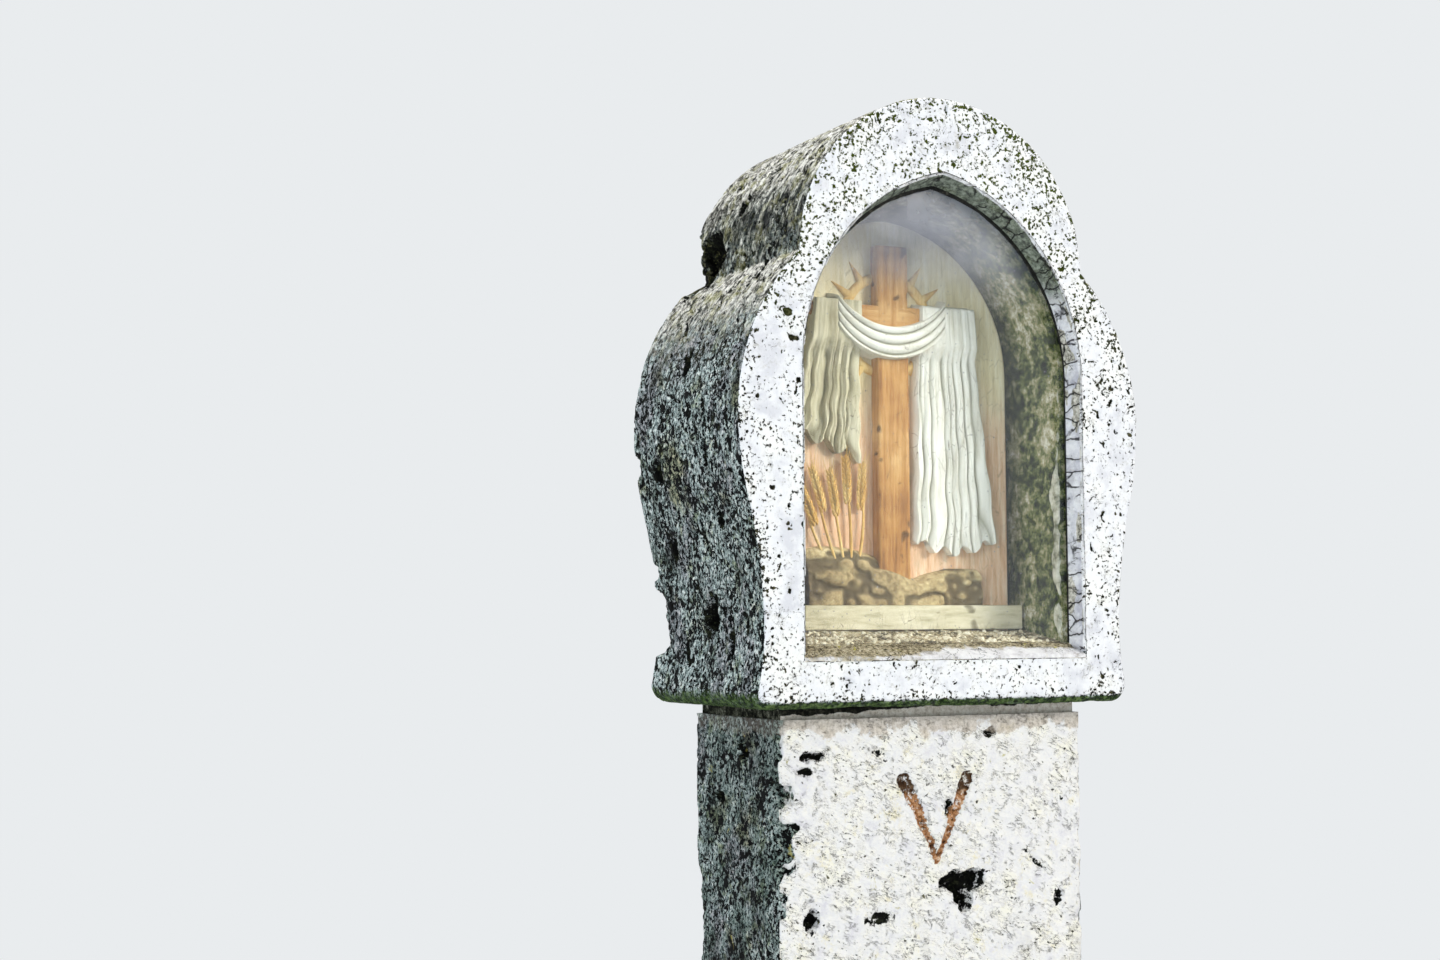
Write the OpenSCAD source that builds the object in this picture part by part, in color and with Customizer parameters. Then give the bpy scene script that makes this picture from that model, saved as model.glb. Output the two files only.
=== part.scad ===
// Wayside shrine: a rough pillar stone on a low foot stone carries an overhanging head stone.
// A pointed niche in the head holds a painted relief behind a pane of glass.
// Millimetres. +Z is up, the front looks towards -Y, and the origin is on the ground in the middle.

/* [Head stone] */
// Width of the head stone over its flared foot
head_w = 500; // [470:5:530]
// Width of the head stone at its bulge
bulge_w = 543; // [530:1:570]
// Width of the head stone at the waist above its foot
waist_w = 482; // [460:1:490]
// Diameter of the round top lobe
lobe_w = 387; // [370:1:410]
// Height of the head stone
head_h = 708; // [680:1:740]
// Depth of the head stone from front to back
head_d = 290; // [280:1:330]
// Height of the bulge above the underside of the head
bulge_z = 330; // [310:1:350]
// Height of the waist above the underside of the head
waist_z = 85; // [70:1:100]
// Radius of the rolled lower edge at the sides
side_roll_r = 20; // [10:1:25]
// Radius of the rolled lower edge at the front and the back
front_roll_r = 12; // [6:1:16]

/* [Niche] */
// Clear width of the niche in the front face
niche_w = 372; // [340:1:376]
// Height of the niche floor at the front, above the underside of the head
niche_foot_z = 59; // [56:1:66]
// Height at which the pointed arch springs, above the underside of the head
spring_z = 385; // [370:1:400]
// Height of the arch apex, above the underside of the head
apex_z = 616; // [600:1:625]
// Depth of the niche from the front face to its back wall
niche_d = 165; // [160:1:190]
// Depth of the reveal in front of the glass
reveal_d = 27; // [20:1:34]
// How far the painted reveal narrows towards the glass on each side
reveal_splay = 2; // [1:0.5:3]
// How far the painted reveal comes down towards the glass at the apex
apex_splay = 8; // [4:1:10]
// Thickness of the painted coat on the reveal at the front
coat_t = 3; // [2:1:4]
// How far the sloping sill rises towards the glass
sill_rise = 13; // [8:1:16]
// How far the niche floor rises from the glass to the relief
floor_rise = 14; // [8:1:20]
// How much narrower the niche is behind the glass than in the front face
rebate_step = 16; // [12:1:20]
// Depth of the plaster band that is left behind the glass
plaster_d = 26; // [10:2:40]
// Thickness of the plaster band that is left behind the glass
plaster_t = 2; // [1:0.5:3]

/* [Glass] */
// Thickness of the pane
pane_t = 4; // [3:1:6]
// Thickness of the seal in front of the pane
seal_t = 3; // [2:1:4]
// Width of the seal that shows round the pane
seal_lip = 2.5; // [1.5:0.5:4]

/* [Relief] */
// Gap between the relief board and the niche wall at each side
board_gap = 4; // [2:1:10]
// Thickness of the relief board
board_t = 25; // [18:1:28]
// Height at which the arch of the board springs, above the underside of the head
board_spring_z = 400; // [385:1:405]
// Height of the top of the board, above the underside of the head
board_top_z = 587; // [575:1:590]
// Height of the ledge at the foot of the relief
ledge_h = 30; // [24:1:36]
// How far the ledge stands out from the board
ledge_out = 30; // [26:1:34]
// Width of the timber of the carved cross
timber_w = 44; // [36:1:50]
// Length of the arms of the carved cross from tip to tip
arms_w = 224; // [200:2:240]
// Height of the carved cross above the ledge
cross_h = 436; // [400:2:440]
// How far the carved cross stands out from the board
timber_out = 18; // [14:1:20]

/* [Pillar] */
// Width of the pillar
pillar_w = 410; // [390:5:430]
// Depth of the pillar from front to back
pillar_d = 218; // [200:2:240]
// Height of the pillar stone
pillar_h = 1328; // [1100:4:1450]
// Depth of the carved numeral
numeral_d = 5; // [3:1:8]

/* [Foot and joints] */
// Width of the foot stone
foot_stone_w = 500; // [480:5:530]
// Depth of the foot stone from front to back
foot_stone_d = 290; // [270:5:320]
// Height of the foot stone
foot_stone_h = 150; // [120:5:200]
// Height of the weathered slope round the top of the foot stone
wash_h = 24; // [10:2:30]
// Thickness of the mortar under the head
head_joint_t = 12; // [8:1:16]
// Thickness of the mortar under the pillar
foot_joint_t = 10; // [8:1:14]
// How far the mortar lies behind the faces of the pillar
joint_recess = 5; // [3:1:8]

/* [Hidden] */
$fn = 96;

pillar_z = foot_stone_h + foot_joint_t;
head_z = pillar_z + pillar_h + head_joint_t;
face_y = -head_d / 2;

// The head's side outline is a chain of arcs that meet without a kink
lobe_r = lobe_w / 2;
lobe_z = head_h - lobe_r;
shoulder_out = bulge_w / 2 - lobe_r;
shoulder_up = lobe_z - bulge_z;
shoulder_r = (shoulder_out * shoulder_out + shoulder_up * shoulder_up) / (2 * shoulder_out);
taper_in = (bulge_w - waist_w) / 2;
taper_up = bulge_z - waist_z;
taper_turn = 2 * atan(taper_in / taper_up);
taper_share = 0.4;
bulge_r = taper_share * taper_up / sin(taper_turn);
hollow_r = (1 - taper_share) * taper_up / sin(taper_turn);
flare_out = (head_w - waist_w) / 2;
flare_up = waist_z - side_roll_r;
flare_r = (flare_out * flare_out + flare_up * flare_up) / (2 * flare_out);
flare_turn = asin(flare_up / flare_r);

// The stone is cut a little wider than the painted reveal, and narrower behind the glass
rebate_w = niche_w + 2 * coat_t;
rebate_foot_z = niche_foot_z - coat_t - 2;
chamber_w = niche_w - rebate_step;
chamber_foot_z = niche_foot_z + 1;
chamber_apex_z = apex_z - apex_splay - rebate_step / 2;
seal_y = reveal_d;
pane_y = seal_y + seal_t;
chamber_y = pane_y + pane_t;
sill_back_z = niche_foot_z + sill_rise;
pane_foot_z = sill_back_z - pane_t - 2;
sill_front_y = 1;

board_w = chamber_w - 2 * board_gap;
board_y = niche_d - board_t;
ledge_y = board_y - ledge_out;
bed_front_z = sill_back_z + 1;
ledge_z = bed_front_z + floor_rise;
relief_z = ledge_z + ledge_h;
arms_z = 0.78 * cross_h;

// The carvings are laid out in hundredths of the board's width
unit = board_w / 100;
ray_count = 16;
ray_out = 1.5 * unit;
mound_out = 7 * unit;
cloth_out = 8 * unit;
fold_r = 4 * unit;
ear_r = 2 * unit;

// Holes worn into the porous stone. Each list gives the place, then half the width, half the height, depth.
// Sides of the head: side, then hundredths of the head's depth from its face and of its height
head_side_holes = [
    [-1, 46, 15, 25, 21, 22], [-1, 28, 11, 5, 28, 9], [-1, 77, 39, 12, 17, 10], [-1, 28, 30, 8, 11, 7],
    [-1, 32, 41, 6, 17, 8], [-1, 90, 72, 34, 17, 14], [-1, 52, 56, 9, 22, 8], [-1, 75, 26, 10, 16, 8],
    [-1, 60, 84, 12, 16, 8], [1, 60, 21, 12, 24, 12], [1, 43, 42, 8, 34, 9], [1, 71, 75, 18, 16, 11],
    [1, 31, 13, 9, 14, 9], [1, 83, 57, 10, 20, 10], [1, 40, 86, 13, 15, 8]
];
// Back of the head: hundredths of its width from the middle and of its height
head_back_holes = [
    [-24, 25, 22, 16, 12], [12, 42, 14, 26, 10], [26, 18, 12, 12, 8], [-8, 66, 16, 12, 9], [4, 12, 18, 10, 8],
    [-30, 48, 10, 20, 8], [16, 80, 12, 14, 8]
];
// Front of the pillar: distance from the middle and below the top
pillar_front_holes = [
    [37, 201, 27, 21, 30], [-164, 224, 9, 13, 16], [-162, 42, 17, 5, 10], [-171, 59, 11, 4, 6],
    [77, 20, 11, 6, 6], [19, 107, 5, 10, 10], [-76, 227, 16, 7, 4], [169, 217, 6, 9, 6],
    [-120, 420, 16, 12, 12], [80, 560, 22, 13, 14], [-60, 820, 12, 12, 10], [120, 1050, 18, 12, 12]
];
// Back of the pillar: distance from the middle and below the top
pillar_back_holes = [
    [-80, 180, 20, 14, 12], [100, 90, 14, 12, 9], [40, 470, 18, 22, 12], [-110, 800, 16, 12, 10]
];
// Sides of the pillar: side, hundredths of the pillar's depth from its front, distance below the top
pillar_side_holes = [
    [-1, 42, 38, 12, 15, 18], [-1, 69, 96, 10, 8, 9], [-1, 30, 480, 16, 24, 12], [-1, 62, 900, 14, 20, 10],
    [1, 68, 120, 16, 12, 10], [1, 40, 640, 16, 30, 10]
];

// Bites out of upright arrises. Each gives the corner in X and Y, the place, half the length and the depth.
// Rear arrises of the head: hundredths of its height
head_bites = [
    [-1, 1, 13.4, 36, 25], [-1, 1, 22.3, 11, 11], [-1, 1, 40.3, 15, 13], [1, 1, 33, 24, 14], [1, 1, 58, 16, 10]
];
// Arrises of the pillar: distance below its top
pillar_bites = [
    [-1, -1, 86, 12, 12], [-1, -1, 155, 27, 11], [-1, -1, 198, 12, 8], [-1, -1, 760, 36, 10],
    [-1, 1, 240, 74, 13], [1, -1, 215, 50, 4], [1, 1, 400, 34, 12]
];

// A ragged hole in a surface that faces +Z: half its size along X and along Y, and its depth
module ragged_hole(half_x, half_y, deep) {
    sides = 9;
    lip = 0.4;
    floor_share = 0.55;
    rim_share = floor_share + (1 - floor_share) * (1 + lip);
    function ring(share, z) = [
        for (i = [0 : sides - 1])
            let (turn = 360 * i / sides, r = share * (1 + 0.2 * sin(200 * i + 37 * deep + 11 * half_x)))
                [half_x * r * cos(turn), half_y * r * sin(turn), z]
    ];
    polyhedron(
        concat(ring(floor_share, -deep), ring(rim_share, lip * deep)),
        concat(
            [[for (i = [0 : sides - 1]) i]],
            [[for (i = [sides - 1 : -1 : 0]) sides + i]],
            [for (i = [0 : sides - 1]) [(i + 1) % sides, i, sides + i, sides + (i + 1) % sides]]
        )
    );
}

// A ragged hole whose mouth looks towards a heading in degrees, 0 for +X and 90 for +Y, and up by a lean
module worn_hole(place, heading, lean, half_w, half_h, deep) {
    translate(place) rotate([0, 90 - lean, heading]) ragged_hole(half_h, half_w, deep);
}

// A bite out of an upright arris, wide enough to cut the corner away over its whole depth
module arris_bite(place, bite) {
    worn_hole(place, atan2(bite[1], bite[0]), 0, 2 * bite[4], bite[3], bite[4]);
}

// Turns a front outline drawn in X and Z into a slab between two distances behind the head's face
module slab(from, to) {
    translate([0, face_y + to, head_z]) rotate([90, 0, 0]) linear_extrude(to - from) children();
}

// Points on an arc round (x, z), from one angle to another, without the point that it starts from
function arc(x, z, r, from, to, steps) = [
    for (i = [1 : steps])
        let (a = from + (to - from) * i / steps) [x + r * cos(a), z + r * sin(a)]
];

// A half outline, listed from the top to the foot, closed by its mirror image
function with_mirror(half) = concat(half, [for (i = [len(half) - 1 : -1 : 0]) [-half[i][0], half[i][1]]]);

// A block outline whose two lower corners are rolled
module rolled_outline(w, h, r) {
    polygon(with_mirror(concat([[w / 2, h], [w / 2, r]], arc(w / 2 - r, r, r, 0, -90, 6))));
}

// Front outline of the head: top lobe, shoulder, bulge, hollow, flare and rolled foot
module head_outline() {
    shoulder_x = bulge_w / 2 - shoulder_r;
    half = concat(
        arc(0, lobe_z, lobe_r, 90, 0, 32),
        arc(shoulder_x, bulge_z, shoulder_r, atan2(shoulder_up, lobe_r - shoulder_x), 0, 16),
        arc(bulge_w / 2 - bulge_r, bulge_z, bulge_r, 0, -taper_turn, 6),
        arc(waist_w / 2 + hollow_r, waist_z, hollow_r, 180 - taper_turn, 180, 6),
        arc(waist_w / 2 + flare_r, waist_z, flare_r, 180, 180 + flare_turn, 5),
        arc(head_w / 2 - side_roll_r, side_roll_r, side_roll_r, 0, -90, 6)
    );
    polygon(with_mirror(half));
}

// Pointed arch: straight jambs up to the springing, then two arcs that meet at the apex
module pointed_arch(w, foot, spring, top) {
    rise = top - spring;
    off = (rise * rise - w * w / 4) / w;
    translate([-w / 2, foot]) square([w, spring - foot]);
    intersection() {
        translate([-off, spring]) circle(r = w / 2 + off);
        translate([off, spring]) circle(r = w / 2 + off);
        translate([-w, spring]) square([2 * w, rise + 1]);
    }
}

// Half the width of the head's outline at a height above its underside
function half_width(z) =
    z > lobe_z ? sqrt(lobe_r * lobe_r - (z - lobe_z) * (z - lobe_z)) :
    z > bulge_z ? bulge_w / 2 - shoulder_r + sqrt(shoulder_r * shoulder_r - (z - bulge_z) * (z - bulge_z)) :
    z > bulge_z - bulge_r * sin(taper_turn) ?
        bulge_w / 2 - bulge_r + sqrt(bulge_r * bulge_r - (z - bulge_z) * (z - bulge_z)) :
    z > waist_z ? waist_w / 2 + hollow_r - sqrt(hollow_r * hollow_r - (z - waist_z) * (z - waist_z)) :
    waist_w / 2 + flare_r - sqrt(flare_r * flare_r - (z - waist_z) * (z - waist_z));

// How far the side of the head leans inwards at a height, in degrees from upright
function lean_at(z) = atan2(half_width(z - 2) - half_width(z + 2), 4);

module head_wear() {
    for (hole = head_side_holes) {
        z = head_h * hole[2] / 100;
        worn_hole(
            [hole[0] * half_width(z), face_y + head_d * hole[1] / 100, head_z + z],
            90 - 90 * hole[0], lean_at(z), hole[3], hole[4], hole[5]
        );
    }
    for (hole = head_back_holes)
        worn_hole(
            [bulge_w * hole[0] / 100, -face_y, head_z + head_h * hole[1] / 100],
            90, 0, hole[2], hole[3], hole[4]
        );
    for (bite = head_bites) {
        z = head_h * bite[2] / 100;
        arris_bite([bite[0] * half_width(z), -face_y, head_z + z], bite);
    }
}

module head_stone() {
    color("gainsboro") difference() {
        intersection() {
            slab(0, head_d) head_outline();
            translate([-bulge_w, 0, head_z]) rotate([90, 0, 90])
                linear_extrude(2 * bulge_w) rolled_outline(head_d, head_h + 1, front_roll_r);
        }
        slab(-1, chamber_y) pointed_arch(rebate_w, rebate_foot_z, spring_z, apex_z + coat_t);
        slab(0, niche_d) pointed_arch(chamber_w, chamber_foot_z, spring_z, chamber_apex_z);
        head_wear();
    }
}

// Side outline of the sloping sill, from the front face back to the glass
module sill_side(up) {
    polygon([
        [sill_front_y, rebate_foot_z], [sill_front_y, niche_foot_z + up], [seal_y, sill_back_z + up],
        [pane_y, sill_back_z + up], [pane_y, pane_foot_z], [chamber_y, pane_foot_z],
        [chamber_y, rebate_foot_z]
    ]);
}

// Draws a side outline, given by distance behind the head's face and height, across a width
module across(w) {
    translate([-w / 2, face_y, head_z]) rotate([90, 0, 90]) linear_extrude(w) children();
}

module niche_sill() {
    color("ivory") across(rebate_w) sill_side(0);
}

// The painted coat lies on the jambs and the arch and narrows towards the glass
module reveal_coat() {
    color("thistle") difference() {
        slab(0.5, reveal_d) pointed_arch(rebate_w, niche_foot_z, spring_z, apex_z + coat_t);
        hull() {
            slab(-1, 0.4) pointed_arch(niche_w, rebate_foot_z, spring_z, apex_z);
            slab(reveal_d, reveal_d + 1)
                pointed_arch(niche_w - 2 * reveal_splay, rebate_foot_z, spring_z, apex_z - apex_splay);
        }
        across(2 * rebate_w) polygon([
            [-1, 0], [-1, niche_foot_z - 1], [sill_front_y, niche_foot_z], [reveal_d + 1, sill_back_z + 0.5],
            [reveal_d + 1, 0]
        ]);
    }
}

module glass_seal() {
    inner_w = niche_w - 2 * reveal_splay - 2 * seal_lip;
    color("dimgray") difference() {
        slab(seal_y, pane_y) pointed_arch(rebate_w, sill_back_z, spring_z, apex_z + coat_t);
        slab(seal_y - 1, pane_y + 1)
            pointed_arch(inner_w, sill_back_z + seal_lip, spring_z, apex_z - apex_splay - seal_lip);
    }
}

module glass_pane() {
    color("lightsteelblue") slab(pane_y, chamber_y)
        pointed_arch(rebate_w - 2 * coat_t, pane_foot_z, spring_z, apex_z);
}

// What is left of the wall plaster is a band close behind the glass
module niche_plaster() {
    color("lightgray") difference() {
        slab(chamber_y, chamber_y + plaster_d) pointed_arch(chamber_w, bed_front_z, spring_z, chamber_apex_z);
        slab(0, niche_d) pointed_arch(chamber_w - 2 * plaster_t, 0, spring_z, chamber_apex_z - plaster_t);
        across(2 * rebate_w) bed_side(0);
    }
}

module bed_side(up) {
    polygon([
        [chamber_y, chamber_foot_z], [chamber_y, bed_front_z + up], [ledge_y, ledge_z + up],
        [board_y, ledge_z + up], [board_y, chamber_foot_z]
    ]);
}

module niche_floor_bed() {
    color("tan") across(chamber_w) bed_side(0);
}

module relief_board() {
    color("wheat") slab(board_y, niche_d)
        pointed_arch(board_w, chamber_foot_z, board_spring_z, board_top_z);
}

module relief_ledge() {
    color("cornsilk") slab(ledge_y, board_y) translate([-board_w / 2, ledge_z]) square([board_w, ledge_h]);
}

// Places a carving that stands out from the board by the given distance, above the ledge
module carving(out) {
    slab(board_y - out, board_y) translate([0, relief_z]) children();
}

// A low hill of two rounded rocks along the whole foot of the relief
module mound_outline() {
    intersection() {
        union() {
            translate([-26 * unit, -41 * unit]) circle(r = 62 * unit);
            translate([32 * unit, -52 * unit]) circle(r = 66 * unit);
        }
        translate([-board_w / 2, 0]) square([board_w, 30 * unit]);
    }
}

module relief_mound() {
    color("darkkhaki") carving(mound_out) mound_outline();
}

module cross_outline() {
    translate([-timber_w / 2, 0]) square([timber_w, cross_h]);
    translate([-arms_w / 2, arms_z - timber_w / 2]) square([arms_w, timber_w]);
}

module relief_cross() {
    color("peru") difference() {
        carving(timber_out) cross_outline();
        relief_mound();
        relief_wheat_solid();
    }
}

// A ring with short rays behind the crossing of the timbers
module relief_rays() {
    color("khaki") difference() {
        carving(ray_out) translate([0, arms_z]) {
            difference() {
                circle(r = 19 * unit);
                circle(r = 15.5 * unit);
            }
            for (i = [0 : ray_count - 1]) rotate(360 * (i + 0.5) / ray_count)
                polygon([[17 * unit, -1.5 * unit], [26 * unit, 0], [17 * unit, 1.5 * unit]]);
        }
        carving(timber_out) cross_outline();
        relief_cloth_solid();
    }
}

// One hanging fold is a half round that leans by an angle, its back flat on the board
module fold(x, top, lean, length) {
    translate([x, face_y + board_y, head_z + relief_z + top]) rotate([0, lean, 0])
        translate([0, 0, -length]) cylinder(r = fold_r, h = length, $fn = 32);
}

// Everything from the board's face out to the front of the cloth
module cloth_depth() {
    slab(board_y - cloth_out, board_y) translate([-board_w / 2, relief_z - unit])
        square([board_w, cross_h + unit]);
}

// The cloth is laid over both arms: a swag in front of the upright and a tail of folds at each side
module relief_cloth_solid() {
    top = arms_z + timber_w / 2 + 2 * unit;
    low = arms_z - timber_w / 2 - 2 * unit;
    intersection() {
        cloth_depth();
        union() {
            for (i = [0 : 4]) fold((14 + 4 * i) * unit, top, 1.5 - 2 * i, (84 + 3 * (i % 2)) * unit);
            for (i = [0 : 3]) fold((-16 - 4 * i) * unit, top, 3 * i, (56 - 4 * i + 3 * (i % 2)) * unit);
        }
    }
    carving(cloth_out) difference() {
        union() {
            translate([-31 * unit, low]) square([18 * unit, top - low]);
            translate([11 * unit, low]) square([22 * unit, top - low]);
            translate([-1 * unit, top + 7 * unit]) circle(r = 28 * unit);
        }
        translate([-1 * unit, top + 18 * unit]) circle(r = 27 * unit);
        translate([-board_w, top]) square([2 * board_w, board_w]);
    }
}

module relief_cloth() {
    color("whitesmoke") difference() {
        relief_cloth_solid();
        carving(timber_out) cross_outline();
        relief_mound();
    }
}

// An ear of wheat on its stalk, leaning by an angle
module ear(x, lean, stalk) {
    translate([x, face_y + board_y - ear_r, head_z + relief_z + 10 * unit]) rotate([0, lean, 0]) {
        cylinder(r = 0.7 * unit, h = stalk, $fn = 16);
        translate([0, 0, stalk]) cylinder(r1 = unit, r2 = ear_r, h = 4 * unit, $fn = 24);
        translate([0, 0, stalk + 4 * unit]) cylinder(r = ear_r, h = 8 * unit, $fn = 24);
        translate([0, 0, stalk + 12 * unit]) cylinder(r1 = ear_r, r2 = 0.3 * unit, h = 6 * unit, $fn = 24);
    }
}

module relief_wheat_solid() {
    intersection() {
        cloth_depth();
        for (i = [0 : 4])
            ear((2 * i - 22) * unit, 7 * i - 24, (19 + 3 * (i % 2) + i) * unit);
    }
}

module relief_wheat() {
    color("goldenrod") difference() {
        relief_wheat_solid();
        relief_mound();
        relief_cloth_solid();
    }
}

module numeral_outline() {
    polygon([[-51, 95], [-32, 95], [3, 22], [36, 95], [53, 95], [11, 0], [-6, 0]]);
}

module pillar_wear(top) {
    for (hole = pillar_front_holes)
        worn_hole([hole[0], -pillar_d / 2, top - hole[1]], -90, 0, hole[2], hole[3], hole[4]);
    for (hole = pillar_back_holes)
        worn_hole([hole[0], pillar_d / 2, top - hole[1]], 90, 0, hole[2], hole[3], hole[4]);
    for (hole = pillar_side_holes)
        worn_hole(
            [hole[0] * pillar_w / 2, pillar_d * (hole[1] / 100 - 0.5), top - hole[2]],
            90 - 90 * hole[0], 0, hole[3], hole[4], hole[5]
        );
    for (bite = pillar_bites)
        arris_bite([bite[0] * pillar_w / 2, bite[1] * pillar_d / 2, top - bite[2]], bite);
}

module pillar_stone() {
    top = pillar_z + pillar_h;
    front = -pillar_d / 2;
    color("ivory") difference() {
        translate([-pillar_w / 2, front, pillar_z]) cube([pillar_w, pillar_d, pillar_h]);
        translate([0, front + numeral_d, top - 167]) rotate([90, 0, 0])
            linear_extrude(numeral_d + 1) numeral_outline();
        pillar_wear(top);
    }
}

module mortar(z, t) {
    w = pillar_w - 2 * joint_recess;
    d = pillar_d - 2 * joint_recess;
    color("dimgray") translate([-w / 2, -d / 2, z]) cube([w, d, t]);
}

module head_joint() {
    mortar(head_z - head_joint_t, head_joint_t);
}

module foot_joint() {
    mortar(foot_stone_h, foot_joint_t);
}

// The foot stone's top edge is weathered to a slope on all four sides
module foot_stone() {
    module side(w) {
        polygon([
            [-w / 2, 0], [w / 2, 0], [w / 2, foot_stone_h - wash_h], [w / 2 - wash_h, foot_stone_h],
            [wash_h - w / 2, foot_stone_h], [-w / 2, foot_stone_h - wash_h]
        ]);
    }
    color("gainsboro") intersection() {
        translate([0, foot_stone_d / 2, 0]) rotate([90, 0, 0])
            linear_extrude(foot_stone_d) side(foot_stone_w);
        translate([-foot_stone_w / 2, 0, 0]) rotate([90, 0, 90])
            linear_extrude(foot_stone_w) side(foot_stone_d);
    }
}

foot_stone();
foot_joint();
pillar_stone();
head_joint();
head_stone();
niche_sill();
reveal_coat();
glass_seal();
glass_pane();
niche_plaster();
niche_floor_bed();
relief_board();
relief_ledge();
relief_mound();
relief_rays();
relief_cross();
relief_cloth();
relief_wheat();
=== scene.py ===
# %% [markdown]
# # A wayside shrine in stone, limewash and paint
# A rough pillar on a foot stone carries a heavy head stone. A painted relief stands in the head's pointed
# niche, behind a pane of glass. The measured model already says where each piece is and how large, so this
# notebook only gives every piece its worn surface and its finish.
#
# It starts by loading that model as a fixed frame.

# %% Load the measured model
import math

import bpy
import numpy as np
from mathutils import Matrix, Vector


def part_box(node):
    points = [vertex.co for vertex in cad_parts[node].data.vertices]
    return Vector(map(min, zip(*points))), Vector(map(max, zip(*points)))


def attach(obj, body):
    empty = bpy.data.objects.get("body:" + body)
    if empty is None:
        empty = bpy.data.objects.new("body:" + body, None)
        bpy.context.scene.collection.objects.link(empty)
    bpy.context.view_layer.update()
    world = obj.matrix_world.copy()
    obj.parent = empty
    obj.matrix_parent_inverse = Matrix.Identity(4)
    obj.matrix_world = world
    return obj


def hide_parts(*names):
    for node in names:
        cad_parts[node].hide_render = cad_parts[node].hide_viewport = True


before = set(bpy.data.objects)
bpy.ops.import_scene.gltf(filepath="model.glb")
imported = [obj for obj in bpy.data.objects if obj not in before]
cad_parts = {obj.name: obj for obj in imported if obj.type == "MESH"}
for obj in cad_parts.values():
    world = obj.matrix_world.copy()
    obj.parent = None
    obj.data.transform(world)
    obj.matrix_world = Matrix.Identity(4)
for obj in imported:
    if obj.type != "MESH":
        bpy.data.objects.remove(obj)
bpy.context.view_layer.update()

# %% [markdown]
# ## Numbers that repeat themselves
# Worn stone is made of irregular things: swellings, grains, pores. Blender has noise textures for colour,
# but a surface worked out in numpy needs its own noise. A hash turns the three whole numbers of a cell into
# one number that looks random and is the same on every run, so nothing has to be seeded or stored.

# %% A random number for each cell of space
MIXERS = (374761393, 668265263, 2246822519)


def cell_number(cell, seed):
    """A number from 0 to 1 for each cell: its indices times large odd numbers, added up and mixed twice."""
    with np.errstate(over="ignore"):
        mixed = np.full(cell.shape[:-1], (seed * 3266489917) % 2**32, np.uint32)
        for axis, mixer in enumerate(MIXERS):
            mixed = mixed + cell[..., axis].astype(np.int64).astype(np.uint32) * np.uint32(mixer)
        for shift in (15, 13):
            mixed = (mixed ^ (mixed >> np.uint32(shift))) * np.uint32(2654435761)
    return (mixed ^ (mixed >> np.uint32(16))) / 2**32


def in_space(*parts):
    """Points from their coordinates, each given as an array or one number; the arrays stretch to fit."""
    return np.stack(np.broadcast_arrays(*parts), axis=-1)


def smooth(t):
    """The fade 3t^2 - 2t^3, which leaves 0 and arrives at 1 without a kink."""
    t = np.clip(t, 0, 1)
    return t * t * (3 - 2 * t)


def noise(points, size, seed):
    """Smooth noise from -1 to 1: the numbers at a cell's eight corners, blended by the fade along each
    axis."""
    scaled = points / np.asarray(size)
    cell = np.floor(scaled)
    part = smooth(scaled - cell)
    total = 0
    for corner in np.ndindex(2, 2, 2):
        share = np.where(np.array(corner) == 1, part, 1 - part)
        total = total + share.prod(axis=-1) * cell_number(cell + corner, seed)
    return 2 * total - 1


def rough(points, size, seed, octaves=4):
    """Noise in layers, each of half the size and half the height of the one before, adding up to 1 at
    most."""
    layers = [noise(points, np.asarray(size) / 2**i, seed + i) / 2**i for i in range(octaves)]
    return sum(layers) / (2 - 2 / 2**octaves)


def pores(points, size, share, seed, bend=0.35):
    """Round hollows from 0 at the rim to 1 in the middle. Each cell holds one point, a share of the points
    are pores, and a pore is 1 minus the square of the distance over its own radius. Space is bent first by
    noise."""
    scaled = points / np.asarray(size)
    scaled = scaled + bend * np.stack([noise(scaled, 0.7, seed + 20 + i) for i in range(3)], axis=-1)
    cell = np.floor(scaled)
    deepest = np.zeros(points.shape[:-1])
    for step in np.ndindex(3, 3, 3):
        near = cell + step - 1
        middle = near + np.stack([cell_number(near, seed + i) for i in range(3)], axis=-1)
        radius = 0.18 + 0.42 * cell_number(near, seed + 3) ** 1.5
        away = ((scaled - middle) ** 2).sum(axis=-1) / radius**2
        is_pore = cell_number(near, seed + 4) < share
        deepest = np.maximum(deepest, np.where(is_pore, 1 - away, 0))
    return deepest


print("noise at two points:", noise(np.array([[0.1, 0.2, 0.3], [1.4, 0, 2]]), 1.0, 1).round(3))

# %% [markdown]
# ## From a grid of points to a closed mesh
# Every new piece is a sheet of points in rows and columns. The columns run round the piece. The rows run
# from one end to the other, and both ends are closed by strips from side to side, or they run in a circle,
# as on a ring. The signed volume of a closed mesh tells whether its faces point outwards, and they are
# turned round where they don't.

# %% Build a mesh from a grid
SHARP_ANGLE = math.radians(48)


def quads_of(rows, columns, ring):
    """Corner numbers of the faces between neighbours in the grid, and of the strips that close both
    ends."""
    index = np.arange(rows * columns).reshape(rows, columns)
    low = index if ring else index[:-1]
    high = np.roll(index, -1, axis=0) if ring else index[1:]
    faces = [np.stack([low, np.roll(low, -1, 1), np.roll(high, -1, 1), high], axis=-1).reshape(-1, 4)]
    if not ring:
        for edge, turn in ((index[0], -1), (index[-1], 1)):
            near = edge[: columns // 2]
            far = edge[::-1][: columns // 2]
            strip = np.stack([near[:-1], near[1:], far[1:], far[:-1]], axis=-1)
            faces.append(strip[:, ::turn])
    return np.concatenate(faces)


def signed_volume(points, quads):
    """Sixth of the sum of a . (b x c) over the faces' triangles: positive if the faces point outwards."""
    a, b, c, d = (points[quads[:, i]] for i in range(4))
    return ((a * np.cross(b, c)).sum() + (a * np.cross(c, d)).sum()) / 6


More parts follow.
